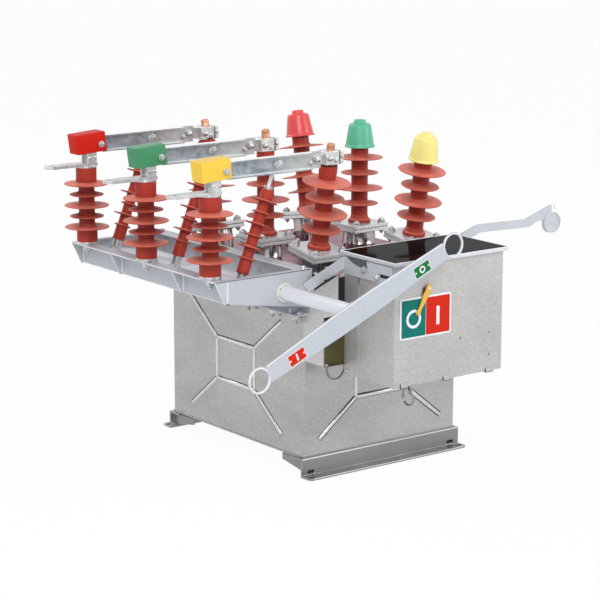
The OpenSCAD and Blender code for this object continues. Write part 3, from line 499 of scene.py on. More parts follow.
class Build:
    """One piece under construction, from closed shapes in millimetres. piece() makes its object at the end."""

    every = []

    def __init__(self, name, material, body="base", stands_for=None, bevel=0.0, sharp=38):
        self.facts = name, material, body, stands_for, bevel, math.radians(sharp)
        self.bm = bmesh.new()
        self.every.append(self)

    def ring(self, points, place):
        return [self.bm.verts.new(place @ Vector(p)) for p in points]

    def skin(self, rings, loop=False):
        """Faces from each ring to the next one, and over both ends of an open row."""
        for lower, upper in zip(rings, rings[1:] + (rings[:1] if loop else [])):
            for i in range(max(len(lower), len(upper))):
                quad = [ring[k % len(ring)] for ring, k in ((lower, i), (lower, i + 1), (upper, i + 1), (upper, i))]
                unique = list(dict.fromkeys(quad))
                if len(unique) > 2:
                    self.bm.faces.new(unique)
        if not loop:
            for end in (rings[0], rings[-1]):
                if len(end) > 2:
                    self.bm.faces.new(end)

    def turned(self, radius, height, place, steps, turn=0.0):
        """Ring round local Z, or one point where the radius is 0."""
        spots = circle(radius, steps, turn) if radius else [(0, 0)]
        return self.ring([(x, y, height) for x, y in spots], place)

    def lathe(self, profile, place, steps=28, turn=0.0):
        """Turns (radius, height) points round local Z."""
        self.skin([self.turned(r, h, place, steps, turn) for r, h in profile])

    def hoop(self, profile, place, steps=40):
        """Turns a closed (radius, height) outline round local Z."""
        self.skin([self.turned(r, h, place, steps) for r, h in profile], loop=True)

    def prism(self, outline, low, high, place=Matrix()):
        self.skin([self.ring([(x, y, z) for x, y in outline], place) for z in (low, high)])

    def block(self, low, high):
        (x0, y0, z0), (x1, y1, z1) = low, high
        self.prism([(x0, y0), (x1, y0), (x1, y1), (x0, y1)], z0, z1)

    def washer(self, place, radius, thick=2.5):
        round_off = 0.5
        inside = radius - round_off
        self.lathe([(inside, 0), (radius, round_off), (radius, thick - round_off), (inside, thick)], place, 24)

    def hexagon(self, place, across, height, low=0.0):
        """Six-sided head or nut with a chamfered top."""
        corner = across / math.sqrt(3)
        top = low + height
        self.lathe([(corner, low), (corner, top - across * 0.06), (corner * 0.88, top)], place, 6, 0.3)

    def nut(self, place, across, height, washer):
        self.washer(place, washer)
        self.hexagon(place, across, height, 2.5)

    def bolt(self, place, across, height, washer):
        """Washer and hexagon head, standing on a face."""
        self.nut(place, across, height, washer)
        top = [(across * 0.30, 2.5 + height), (across * 0.26, 3.1 + height), (0, 3.2 + height)]
        self.lathe(top, place, 12)

    def dome_nut(self, place, across, height, washer):
        self.nut(place, across, height, washer)
        r, base = across * 0.42, 2.3 + height
        angles = [i * math.pi / 12 for i in range(6)]
        dome = [(r * math.cos(a), base + r * 0.8 * math.sin(a)) for a in angles]
        self.lathe(dome + [(0, base + r * 0.8)], place, 16)

    def stud(self, place, radius, low, high):
        """Threaded end with its grooves."""
        profile, z = [(radius * 0.85, low)], low + 0.6
        while z < high - 1:
            profile += [(radius, z), (radius * 0.86, z + 0.75)]
            z += 1.5
        self.lathe(profile + [(radius, high - 0.8), (radius * 0.8, high)], place, 14)

    def section(self, centre, turn, radius, steps, drift=Vector()):
        """Round cross-section of a bar at a place."""
        return [self.bm.verts.new(centre + turn @ (drift + Vector((x, y, 0)))) for x, y in circle(radius, steps)]

    def tube(self, points, radius, steps=10, loop=False):
        """Round bar along a row of places."""
        points = [Vector(p) for p in points]
        rings, last = [], len(points) - 1
        for i, point in enumerate(points):
            before = points[i - 1] if i or loop else point
            after = points[(i + 1) % len(points)] if i < last or loop else point
            turn = (after - before).normalized().to_track_quat("Z", "Y").to_matrix()
            rings.append(self.section(point, turn, radius, steps))
        self.skin(rings, loop)

    def ridge(self, place, start, end, profile):
        """Raised line on a face, with tapered ends: place has Z out of the face, profile is (across, rise) points."""
        start, end = Vector((*start, 0)), Vector((*end, 0))
        along = (end - start).normalized()
        across, taper = Vector((-along.y, along.x, 0)), along * 5
        rings = []
        for at, size in ((start, 0.15), (start + taper, 1.0), (end - taper, 1.0), (end, 0.15)):
            points = [at + across * a * (0.5 + size / 2) + Vector((0, 0, rise * size)) for a, rise in profile]
            rings.append(self.ring(points, place))
        self.skin(rings)

    def weld(self, start, end, radius):
        """Wobbling bead between two places."""
        start, end = Vector(start), Vector(end)
        count = max(4, int((end - start).length / (radius * 0.9)))
        turn = (end - start).normalized().to_track_quat("Z", "Y").to_matrix()
        rings = []
        for i in range(count + 1):
            size = radius * (0.75 + 0.35 * chance.random()) * (0.55 if i in (0, count) else 1)
            drift = Vector((chance.uniform(-0.15, 0.15), chance.uniform(-0.15, 0.15), 0)) * radius
            rings.append(self.section(start.lerp(end, i / count), turn, size, 8, drift))
        self.skin(rings)

    def piece(self):
        """The object, smooth apart from its sharp edges, on its body and in place of the CAD node it stands for."""
        name, material, body, stands_for, bevel, sharp = self.facts
        bmesh.ops.recalc_face_normals(self.bm, faces=self.bm.faces)
        self.bm.transform(Matrix.Scale(MM, 4))
        mesh = bpy.data.meshes.new(name)
        self.bm.to_mesh(mesh)
        self.bm.free()
        mesh.shade_smooth()
        mesh.set_sharp_from_angle(angle=sharp)
        mesh.materials.append(M[material])
        item = placed(name, mesh)
        if bevel:
            soft = item.modifiers.new("bevel", "BEVEL")
            soft.width, soft.segments, soft.limit_method = bevel * MM, 2, "ANGLE"
            soft.angle_limit = math.radians(35)
        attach(item, body)
        if stands_for:
            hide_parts(stands_for)


# ---------- tank ----------


def wall_frames():
    """Name and frame of each wall at the floor's level: X level to the right, Y up and Z out."""
    for name, right, out, reach in (
        ("front", RIGHT, FRONT, roof_high.y),
        ("back", LEFT, BACK, roof_high.y),
        ("left", FRONT, LEFT, roof_high.x),
        ("right", BACK, RIGHT, roof_high.x),
    ):
        turn = Matrix([right, (0, 0, 1), out]).transposed().to_4x4()
        yield name, Matrix.Translation(Vector(out) * reach) @ turn


def make_beads():
    """Rounded crowns on the walls' pressed beads in lighter steel as a painted highlight, and dark strips beside the
    beads as painted shade.
    """
    crown = [(-5.4, 0), (-4.8, 1.4), (-2.8, 2.6), (0, 3.0), (2.8, 2.6), (4.8, 1.4), (5.4, 0)]
    shade_line = [(-1.9, 0), (-1.3, 0.6), (1.3, 0.6), (1.9, 0)]
    shade_line_gap = 6.2
    single = ("left", "right")  # the walls whose lower left bead has a painted shade line on one side, not on both
    wall_height, bead_rise, high, higher = 492, 203, 60, 160
    level = roof_low.z + 3 - wall_height + bead_rise
    inner, outer = 89, min(roof_high.x, roof_high.y) - 56
    crowns = Build("tank_bead_crowns", "bead_steel", sharp=60)
    shade_lines = Build("tank_bead_shade_lines", "crease")
    for name, place in wall_frames():
        lines = []
        for s in (-1, 1):
            lines += [
                ((-inner, level + s * high), (inner, level + s * high), (1,)),
                ((s * inner, level - high), (s * inner, level + high), ()),
                ((s * inner, level + high), (s * outer, level + higher), (1,)),
                ((s * inner, level - high), (s * outer, level - higher), (1,) if s < 0 and name in single else (1, -1)),
            ]
        for start, end, sides in lines:
            crowns.ridge(place, start, end, crown)
            run_x, run_z = end[0] - start[0], end[1] - start[1]
            for side in sides:
                off = math.copysign(shade_line_gap, run_x) * side / math.hypot(run_x, run_z)
                start_off, end_off = ((x - run_z * off, z + run_x * off) for x, z in (start, end))
                shade_lines.ridge(place, start_off, end_off, shade_line)


def make_flange_details():
    """Sleeve and seal below each flange, the gasket between its plates, and its nuts and bolt ends."""
    seals = Build("flange_seals", "gasket")
    collars = Build("neck_sleeves", "mirror_roof", sharp=30)
    nuts = Build("flange_nuts", "nut_steel")
    studs = Build("flange_studs", "dark_steel")
    gaskets = Build("flange_gaskets", "gasket")
    under, half_x, half_y = -FLANGE_STACK, 46, 45
    for _, _, place in flanges():
        seals.lathe([(52, under - 3), (53, under - 1.5), (52, under)], place, 40)
        collars.lathe([(50, 9 - FLANGE_RISE), (47, 15 - FLANGE_RISE), (46, under - 3)], place, 36)
        gaskets.prism(rounded(59.2, 58.2, 1.0), -11.1, -8.9, place)
        for x, y in ((-half_x, -half_y), (-half_x, half_y), (half_x, -half_y), (half_x, half_y)):
            up, down = place @ moved(x, y), place @ stand((x, y, under), DOWN)
            nuts.washer(up, 11.0, 1.8)
            nuts.hexagon(up, 18.6, 7.2, 1.5)
            nuts.lathe([(6.4, 8.6), (6.2, 11), (4.6, 13.2), (0, 14)], up, 16)
            nuts.washer(down, 10.0, 1.8)
            nuts.hexagon(down, 14, 5, 1.8)
            studs.stud(down, 4.0, 6, 11)


def make_feet():
    """Moulded bulge at each bushing's foot, with a few dots of sealant round it."""
    bulge = [(31.7, 0), (32.3, 2.5), (32.2, 5.5), (31.2, 8.2), (28.6, 10.6), (26.4, 13.5), (25.2, 17), (24.3, 22)]
    rubber = Build("bushing_feet", "silicone", sharp=80)
    dots = Build("foot_sealant", "sealant", sharp=80)
    for row_x, phase, place in flanges():
        rubber.lathe(bulge, place, 48)
        for turn in (-2.05, -1.86, -1.66) if (row_x, phase) == (LINE_X, -1) else (-1.9, 1.2):
            size = chance.uniform(1.3, 2.0)
            spot = place @ moved(33.0 * math.cos(turn), 33.0 * math.sin(turn))
            dots.lathe([(size, 0), (size * 0.9, 1.0), (size * 0.5, 1.8), (0, 2.1)], spot, 10)


def make_rail_details():
    """Painted highlights along both rails' edges, and dark plates in their slots as painted shade."""
    edges = Build("rail_edge_highlights", "edge_paint", sharp=60)
    dark = Build("rail_slot_shade", "blackout", sharp=60)
    low, high = corners("rail_front")
    gusset_foot = 44
    reach, web, foot = high.x, -low.y - gusset_foot, -low.y
    for side in (-1, 1):
        top, toe = side * (web + 4.4), side * (foot - 0.9)
        # Bright strips along the rails' top and toe edges: painted highlights.
        edges.tube([(-reach + 2, top, high.z - 1.4), (reach - 2, top, high.z - 1.4)], 2.2, 10)
        edges.tube([(-reach + 13, toe, 4.3), (reach - 13, toe, 4.3)], 1.2, 8)
        for end in (-1, 1):
            slot = end * (reach - 15)
            drain = rounded(13.2, 6, 5.9, at=(slot - end * 16, 13))
            # Black plates behind the drains and in the foot's slots: painted shade.
            dark.prism(drain, *sorted((side * (web - 1.6), side * (web - 0.2))), SWAP_Y_Z)
            dark.prism(rounded(12.8, 6.8, 6.7, at=(slot, side * (web + 24))), 0.2, 1.0)


# ---------- caps, contacts and posts ----------


def make_caps():
    profile = [
        (0, 1.5), (40, 1.5), (41, 0), (43, 0), (43.6, 1.2), (43.4, 3.2), (41.6, 5.2), (40.2, 8), (39.6, 13),
        (32.2, 60), (31.0, 63.6), (28.4, 66.2), (24.5, 67.4), (19.6, 67.8), (18.0, 68.8), (17.6, 70.4),
        (17.3, 74.6), (16.0, 77.0), (13.2, 78.2), (6, 78.6), (0, 78.6),
    ]
    for name, phase in PHASES.items():
        cap = Build("cap_moulding_" + name, "cap_" + name, stands_for="cap_" + name, sharp=50)
        cap.lathe(profile, at_flange(LOAD_X, phase) @ moved(0, 0, LOAD_RUBBER), 56)


def make_contacts():
    """Contact on each line bushing: body, split, outer jaw, tongue to the blade, nuts and the copper stud, with black
    painted shade in the split and round the rubber's top.
    """
    hinge_z = hinge("green")[2]
    low_z, high_z = hinge_z - 18.5, hinge_z + 18.5
    left, body, split, tongue = LINE_X - 30, 45, 3, 4
    jaw, half, collar = left + body + split, 23, 16
    metal = Build("contact_jaws", "contact_metal", stands_for="contacts", bevel=1.6)
    dark = Build("contact_painted_shade", "blackout", bevel=0.3)
    nuts = Build("contact_nuts", "bright_zinc")
    copper = Build("contact_studs", "copper", sharp=50)
    for phase in PHASES.values():
        y = phase * (PITCH - 9)
        rubber_end = at_flange(LINE_X, phase) @ moved(0, 0, LINE_RUBBER)
        metal.block((left, y - half, low_z), (left + body, y + half, high_z))
        metal.block((left + body - 1, y - 17, low_z + 3), (jaw + 0.5, y + 17, high_z - 4))
        metal.block((jaw, y - 22, low_z + 1), (jaw + 12, y + 22, high_z - 1.5))
        mid = phase * PITCH
        metal.block((left - 24, mid - tongue, low_z + 3), (left + 2, mid + tongue, high_z - 3))
        # Black collar on top of the rubber: painted shadow under the contact.
        dark.lathe([(20, -2), (21, 4), (19, 8), (19, collar)], rubber_end, 36)
        metal.hoop([(21, 5), (24.4, 6), (24.4, 9), (21, 10)], rubber_end, 36)
        # Black fill in the split: painted shade.
        dark.block((left + body, y - 22.6, low_z + 0.6), (jaw, y + 22.6, high_z - 0.6))
        for side in (-1, 1):
            nuts.dome_nut(stand((left + 12, y + side * half, hinge_z + 1), (0, side, 0)), 15, 5, 10.5)
            nuts.bolt(stand((left + 33, y + side * half, hinge_z - 7), (0, side, 0)), 9, 3, 6.5)
        nuts.bolt(stand((left + 54, y - 22, hinge_z + 2), FRONT), 7.5, 3, 5.4)
        top = at_flange(LINE_X, phase) @ moved(0, 0, LINE_RUBBER + collar)
        height = STUD_TOP - LINE_RUBBER - collar
        shape = [(11.4, 0), (11.4, height - 12), (11.0, height - 11), (11.4, height - 9.5), (11.2, height - 4)]
        copper.lathe(shape + [(10.2, height - 1.6), (7.6, height - 0.4), (0, height)], top, 32)


def make_post_details():
    """Rims of the posts' end discs, the nuts under them, and the rivets of the hinge ears."""
    discs = Build("post_rims", "bright_zinc")
    nuts = Build("post_nuts", "bright_zinc")
    post_x = middle("post_fittings", 0)
    disc_z = corners("post_fittings")[1].z - 4.2
    hinge_x, web, hinge_z = hinge("green")
    for y in (phase * PITCH for phase in PHASES.values()):
        for z, thick in ((FRAME_TOP + 1.2, 5.6), (disc_z, 3.4)):
            rim = [(29, z - 0.6), (30, z), (30, z + thick), (29, z + thick + 0.6)]
            discs.lathe(rim, stand((post_x, y, 0)), 44)
        nuts.washer(stand((post_x, y, FRAME_TOP - 4), DOWN), 14)
        nuts.hexagon(stand((post_x, y, FRAME_TOP - 6.5), DOWN), 22, 12)
        nuts.stud(stand((post_x, y, FRAME_TOP - 18), DOWN), 6.4, 0, 7)
        for x in (-8.5, 8.5):
            for side in (-1, 1):
                ear = stand((hinge_x + x, y + web + side * 18, hinge_z - 37), (0, side, 0))
                nuts.lathe([(4.4, 0), (4.3, 1.0), (3.2, 1.9), (0, 2.3)], ear, 18)


# ---------- blades and pull insulators ----------


def make_hinge_box(name):
    """Moulded hood over a blade's hinge: drafted, open below and set a little nose-up on its bolts."""
    low, high = corners("hinge_box_" + name)
    half = (high - low) / 2
    place = Matrix.Translation((low + high) / 2) @ Matrix.Rotation(-HOOD_TILT, 4, "Y")
    shell = Build("box_moulding_" + name, "box_" + name, "blade_" + name, "hinge_box_" + name, sharp=50)
    rings = [
        shell.ring([(x, y, z) for x, y in rounded(half.x + grow, half.y + grow, 2.5, 4)], place)
        for z, grow in ((half.z - 3, -6), (-half.z - 1, -5))
    ]
    for z, grow in (
        (-half.z - 1, -2.4), (-half.z + 2, -2.3), (half.z + 1.6, 0), (half.z + 3.2, -0.5), (half.z + 4.2, -1.8),
        (half.z + 4.5, -3.4),
    ):
        lean = 2.5 - 4.5 * (z + half.z) / (2 * half.z)
        outline = rounded(half.x + grow, half.y + grow, 3.2, 4)
        rings.append(shell.ring([(x + (lean - grow if x > 0 else 0), y, z) for x, y in outline], place))
    shell.skin(rings)


def make_blade_bolts(name):
    low, high = corners("hinge_box_" + name)
    hinge_x, web, hinge_z = hinge(name)
    end_x = corners("blade_" + name)[1].x
    bolts = Build("blade_bolts_" + name, "bright_zinc", "blade_" + name, bevel=0.3)
    for side, face in ((-1, low.y + 1.2), (1, high.y - 1.2)):
        bolts.bolt(stand((low.x + 77, face, hinge_z), (0, side, 0)), 13, 6, 9.5)
    bolts.bolt(stand((hinge_x + PIN_REACH, web - 8, hinge_z), FRONT), 15, 4.5, 11.4)
    bolts.dome_nut(stand((end_x - 15, web - 2, hinge_z + 2), FRONT), 17, 7, 12.5)
    bolts.bolt(stand((end_x - 34, web - 2, hinge_z - 7), FRONT), 9, 4, 7)


def make_link_bolts(name, phase):
    """Crank bolts and fork collars of a pull insulator, and the rubber cuff over its lower fork."""
    hinge_x, _, hinge_z = hinge("green")
    crank = Vector((SHAFT.x + CRANK_PIN[0], phase * PITCH, SHAFT.z + CRANK_PIN[1]))
    lean = math.atan2(hinge_x + PIN_REACH - crank.x, hinge_z - crank.z)
    along = Matrix.Translation(crank) @ Matrix.Rotation(lean, 4, "Y")
    pins = Build("link_pins_" + name, "bright_zinc", "link_" + name)
    cuff = Build("link_cuff_" + name, "silicone", "link_" + name, sharp=50)
    for side in (-1, 1):
        pins.bolt(stand(crank + Vector((0, side * 14, 0)), (0, side, 0)), 16, 5, 10)
    for z in (39, 268):
        pins.hoop([(14, z), (15.6, z + 0.8), (15.6, z + 3.2), (14, z + 4)], along, 28)
    cuff.lathe([(16.4, 33), (17, 34), (17, 42.5), (15, 43)], along, 32)


# ---------- frame, shaft and lever ----------


def make_frame_edges(front_low, front_high):
    """Painted highlights along the frame's free edges, as thin bright rounded strips."""
    strips = Build("frame_edge_highlights", "edge_paint", sharp=60)
    nose, top, web, bottom = front_low.x, FRAME_TOP - 0.9, front_high.x - 4, front_low.z
    rear, outer, inner = rear_low.x + 16, -side_low.y - 2, -side_low.y - 5
    runs = [
        ((nose + 0.6, -inner, top), (nose + 0.6, inner, top), 1.6),
        ((web + 0.6, -inner, bottom + 0.8), (web + 0.6, inner, bottom + 0.8), 1.3),
        ((rear, -inner, top), (rear, inner, top), 1.3),
    ]
    for side in (-1, 1):
        y, gusset = side * outer, side * PITCH / 2
        runs += [
            ((nose + 0.6, y, top), (side_high.x, y, top), 1.5),
            ((nose + 1.4, y, top - 2), (web - 7.4, y, bottom + 1), 1.5),
            ((nose + 1.6, gusset, top - 3), (web - 8, gusset, bottom + 0.5), 1.1),
        ]
    for start, end, radius in runs:
        strips.tube([start, end], radius, 8)


def make_frame_details():
    """Return flanges of the side plates, weld runs, the bolts that hold the frame to the tank, and thin dark strips of
    painted shade at the web's foot and beside the hanging nuts.
    """
    front_low, front_high = corners("frame_front")
    make_frame_edges(front_low, front_high)
    zinc = Build("frame_returns", "galvanised", bevel=0.8)
    welds = Build("frame_welds", "weld", sharp=80)
    bolts = Build("frame_bolts", "bright_zinc")
    dark = Build("frame_painted_shade_strips", "dark_steel")
    inner_x, bottom = front_high.x, front_low.z
    for side, face in ((-1, side_low.y), (1, -side_low.y)):
        inside, outside = face - side * 18, face + side * 0.6
        zinc.block((side_low.x + 2, min(face, inside), FRAME_TOP - 3),
                   (side_high.x, max(face, inside), FRAME_TOP + 0.4))
        # Thin dark strip at the foot of the web: painted shade.
        dark.block((inner_x - 7, min(outside, outside + side * 1), bottom - 1),
                   (inner_x + 3, max(outside, outside + side * 1), bottom + 1.5))
        seam = face - side * 5
        for start, end, radius in (
            ((inner_x - 3, outside, FRAME_TOP - 4), (inner_x - 3, outside, bottom + 2), 2.6),
            ((inner_x - 5, seam, FRAME_TOP - 5), (inner_x - 5, seam, bottom + 2), 2.6),
            ((inner_x - 2, seam, FRAME_TOP - 4.5), (side_low.x + 8, seam, FRAME_TOP - 4.5), 1.6),
        ):
            welds.weld(start, end, radius)
        brace = face - side * 30
        zinc.block((rear_low.x + 3, brace - 2, rear_low.z + 4), (rear_low.x + 30, brace + 2, rear_low.z + 24))
        bolts.bolt(stand((rear_low.x + 24, face - side * 14, rear_low.z + 4)), 17, 8, 12)
        bolts.bolt(stand((rear_high.x - 18, face - side * 14, FRAME_TOP)), 13, 5, 9)
    for y in (spot * PITCH for spot in (-1, -0.65, -0.28, 0.28, 0.65, 1)):
        under = stand((rear_high.x - 15, y, rear_low.z), DOWN)
        bolts.washer(under, 12, 4)
        bolts.hexagon(under, 18, 12, 4)
        bolts.stud(under, 5.4, 16, 27)
        bolts.bolt(stand((rear_high.x - 20, y, rear_low.z + 9)), 15, 6, 10)
        # Thin dark strip beside each hanging nut: painted shadow on the tank wall.
        dark.block((rear_high.x - 4.5, y - 13, rear_low.z - 9), (rear_high.x - 3.4, y + 13, rear_low.z - 7))
    for y in (-0.5 * PITCH, 0.5 * PITCH):
        bolts.bolt(stand((rear_low.x + 36, y, rear_high.z - 40), LEFT), 13, 6, 9)
        for seam in (y - 3, y + 3):
            welds.weld((front_low.x + 12, seam, FRAME_TOP - 4.6), (inner_x - 4, seam, FRAME_TOP - 4.6), 1.6)
            welds.weld((inner_x - 5, seam, FRAME_TOP - 5), (inner_x - 5, seam, bottom + 2), 2.5)


def make_shaft_details():
    """Seal rings on the bearings, with two screws each, and the collars at the shaft's ends."""
    rings = Build("shaft_seals", "cream", sharp=50)
    dots = Build("shaft_seal_screws", "dark_steel")
    collars = Build("shaft_collars", "shaft_white", "lever", sharp=50)
    bearing_low, bearing_high = corners("shaft_bearings")
    for side, face in ((-1, bearing_low.y), (1, bearing_high.y)):
        place = stand((SHAFT.x, face, SHAFT.z), (0, side, 0))
        rings.hoop([(19.6, -1), (25.6, -1), (26, 1), (24, 2.4), (20, 2.6), (19.6, 1)], place, 44)
        for turn in (2.5, 3.6):
            spot = place @ moved(22.4 * math.cos(turn), 22.4 * math.sin(turn), 2.3)
            dots.lathe([(1.6, -0.6), (1.6, 0.3), (0, 0.5)], spot, 10)
    near = [(19.3, 0), (26, 0), (27, 1.5), (27, 9), (25, 11), (19.3, 11)]
    far = [(17.5, 0), (17, 1.5), (6, 2), (0, 2)]
    for profile, y in ((near, LEVER_Y + 4), (far, corners("operating_shaft")[1].y)):
        collars.lathe(profile, stand((SHAFT.x, y, SHAFT.z), BACK), 36)


def ring_mark(build, place, x, y, outer, inner, low, high):
    build.hoop([(inner, low), (outer, low), (outer, high), (inner, high)], place @ moved(x, y), 40)


def make_stickers():
    """Stickers with I and O on the lever's face, white hoops on its rings, and a painted highlight along its top edge.
    """
    face = Matrix.Translation((SHAFT.x, LEVER_Y - 4, SHAFT.z))
    place = face @ Matrix.Rotation(-LEVER_SLOPE, 4, "Y") @ FACING_FRONT
    bright = Build("lever_hoops_and_top_highlight", "edge_paint", "lever", sharp=60)
    white = Build("lever_stickers_white", "sign_white", "lever")
    red = Build("lever_sticker_red", "sign_red", "lever")
    green = Build("lever_sticker_green", "sticker_green", "lever")
    y = -4
    for x, field, mark in ((-210, red, "I"), (230, green, "O")):
        white.prism(rounded(27.5, 16, 2, at=(x, y)), 0, 0.4, place)
        field.prism(rounded(26, 14.5, 1.5, at=(x, y)), 0.3, 0.7, place)
        if mark == "I":
            white.prism(rounded(2.6, 9.5, 0.8, at=(x, y)), 0.6, 1.0, place)
        else:
            ring_mark(white, place, x, y, 9.5, 5.6, 0.6, 1.0)
        for end in (-1, 1):
            white.lathe([(2.6, 0.6), (2.6, 0.9), (0, 0.95)], place @ moved(x + end * 22.5, y), 14)
    rim = [(29.4, -6.6), (31, -8.2), (33.0, -7.4), (34.0, -4), (33.0, -0.6), (31, 0.4), (29.4, -1.4)]
    for x in (-LEVER_REACH[0], LEVER_REACH[1]):
        bright.hoop(rim, place @ moved(x, 0), 48)
    low_end, high_end = 33 - LEVER_REACH[0], LEVER_REACH[1] - 33
    top = ((low_end, 22.4, -0.8), (-60, 29.6, -0.8), (60, 29.6, -0.8), (high_end, 22.4, -0.8))
    # Bright strip along the lever's top edge: a painted highlight.
    bright.tube([place @ Vector(v) for v in top], 1.4, 8)


# ---------- mechanism ----------


def make_sign():
    """Position sign: an O on a teal field and an I on a red one, with a white border and rivets."""
    sign_low, sign_high = corners("sign_plate")
    centre, half = (sign_low + sign_high) / 2, (sign_high - sign_low) / 2
    place = moved(centre.x, sign_low.y, centre.z) @ FACING_FRONT
    border, gap = 5, 1.6
    field = (half.x - border - gap / 2) / 2
    off = gap / 2 + field
    teal = Build("sign_field_open", "sign")
    red = Build("sign_field_closed", "sign_red")
    white = Build("sign_marks", "sign_white")
    rivets = Build("sign_rivets", "bright_zinc")
    for x, build in ((-off, teal), (off, red)):
        build.prism(rounded(field, half.z - border, 3, at=(x, 0)), -0.2, 0.35, place)
    ring_mark(white, place, -off, -2, 25, 17.5, 0.25, 0.7)
    white.prism(rounded(5.2, 25, 1, at=(off, -2)), 0.25, 0.7, place)
    for x in (-1, 1):
        for y in (-1, 1):
            spot = place @ moved(x * (half.x - 2.6), y * (half.z - 2.6))
            rivets.lathe([(1.8, 0), (1.5, 0.7), (0, 1.0)], spot, 12)


def make_pointer():
    pivot = Vector((cover_low.x + 111.7, cover_low.y, cover_high.z - 69))
    place = Matrix.Translation(pivot) @ Matrix.Rotation(POINTER_SWING, 4, "Y") @ FACING_FRONT
    arm = Build("pointer_arm", "pointer", "pointer", "indicator_pointer", bevel=0.4)
    hub = Build("pointer_hub", "brown", "pointer", bevel=0.4)
    screw = Build("pointer_screw", "sign_white", "pointer")
    guard = Build("pointer_guard", "brown", bevel=0.5)
    angles = [math.radians(-35 + i * 250 / 14) for i in range(15)]
    outline = [(10.4 * math.cos(a), 10.4 * math.sin(a)) for a in angles]
    outline += [(-8.6, -22), (-4.6, -60), (-6.6, -68), (-3.4, -80), (0, -75)]
    outline += [(3.4, -80), (6.6, -68), (4.6, -60), (8.6, -22)]
    arm.prism(outline, 5, 7.6, place)
    hub.lathe([(6.5, 0.4), (6.5, 5)], place, 28)
    screw.lathe([(4.6, 7.6), (4.4, 9.2), (3, 10), (0, 10.2)], place, 24)
    guard.prism(rounded(6, 9, 2, at=(-11, -7)), 0, 3, Matrix.Translation(pivot) @ FACING_FRONT)


def make_cover_details():
    """Eyelets and bottom tabs on the cover's front, the seam on its side, and its side bolts, with black painted shade
    in the eyelets and beside the tabs and the seam.
    """
    steel = Build("cover_tabs", "cover_steel", bevel=0.4)
    dark = Build("cover_painted_shade", "blackout")
    seam = Build("cover_seam", "cover_trim")
    bolts = Build("cover_side_bolts", "bright_zinc")
    face, left, base = cover_low.y, cover_low.x, COVER_BASE
    for x, z in ((27, 105), (128, 107), (130, 47)):
        place = stand((x, face, base + z), FRONT)
        steel.hoop([(2.2, -0.3), (4.2, -0.3), (3.8, 0.8), (2.4, 0.8)], place, 20)
        # Black disc in each eyelet: painted shade.
        dark.lathe([(2.3, 0), (2.3, 0.4), (0, 0.4)], place, 16)
    for x, wide in ((-166, 24), (-20, 22), (133, 28)):
        start, end = x - wide / 2, x + wide / 2
        steel.block((start, face - 2.6, base - 4), (end, face + 0.2, base + 9))
        steel.block((start, face - 2.6, base - 4), (end, face + 12, base - 1.6))
        # Black strip beside each tab: painted shade.
        dark.block((start - 1.2, face - 2.2, base - 3), (start + 1.5, face + 0.1, base + 8))
    back, top = cover_high.y, cover_high.z
    seam.block((left - 0.7, back - 61.6, base + 2), (left + 0.5, back - 58.6, top - 53))
    # Black strip at the seam's top: painted shade.
    dark.block((left - 0.7, back - 62, top - 72), (left + 0.4, back - 60, top - 53))
    for y in (face + 30, back - 30):
        for z in (base + 40, top - 40):
            bolts.bolt(stand((cover_high.x, y, z), RIGHT), 10, 5, 7)


def make_lid():
    """Glossy black sheet inside the lid's rim, painted highlights along the rim's lips, and the skirt below it."""
    skirt = Build("lid_skirt", "galvanised", bevel=0.2)
    sheet = Build("lid_sheet", "lid_black", bevel=0.3)
    lip_highlights = Build("lid_lip_highlights", "edge_paint", sharp=60)
    low, high = corners("mechanism_lid")
    centre, half = (low + high) / 2, (high - low) / 2
    sheet.prism(rounded(half.x - 2.6, half.y - 2.6, 2, 3, at=(centre.x, centre.y)), high.z - 0.4, high.z + 0.9)
    inset, level = 1.2, high.z + 0.2
    left, right, front, back = low.x + inset, high.x - inset, low.y + inset, high.y - inset
    ends = [(left, front, level), (right, front, level), (right, back, level), (left, back, level)]
    for start, end in zip(ends, ends[1:] + ends[:1]):
        lip_highlights.tube([start, end], 1.4, 10)
    skirt.block((low.x - 0.4, low.y + 4, low.z), (low.x + 0.2, high.y, high.z - 1.2))


def make_band_details():
    """Painted shade in the band's slot under the lid, its dark green pane, and bolts, on the neck's side."""
    dark = Build("band_window_painted_shade", "blackout")
    glass = Build("band_rear_window", "glass_green")
    bolts = Build("band_bolts", "bright_zinc")
    left, back, top = cover_low.x, cover_high.y, cover_high.z
    face = left - 3
    # Black panel in the band's slot: painted shade.
    dark.block((left - 0.6, cover_low.y + 8, top - 42), (left + 0.2, cover_low.y + 62, top - 24))
    turn = Matrix((DOWN, LEFT, BACK)).to_4x4()
    pane = [(14, -3), (96, -3), (100, -24), (84, -25), (62, -22), (40, -17), (22, -9)]
    glass.prism(pane, -0.2, 0.6, moved(face, back, top) @ turn)
    bolts.bolt(stand((face, back - 88, top - 27), LEFT), 13, 5, 9)
    bolts.dome_nut(stand((face, back - 146, top - 37), LEFT), 15, 5, 10)
    bolts.bolt(stand((neck_low.x - 3, side_low.y - 3, SHAFT.z - 2), FRONT), 15, 6, 10)


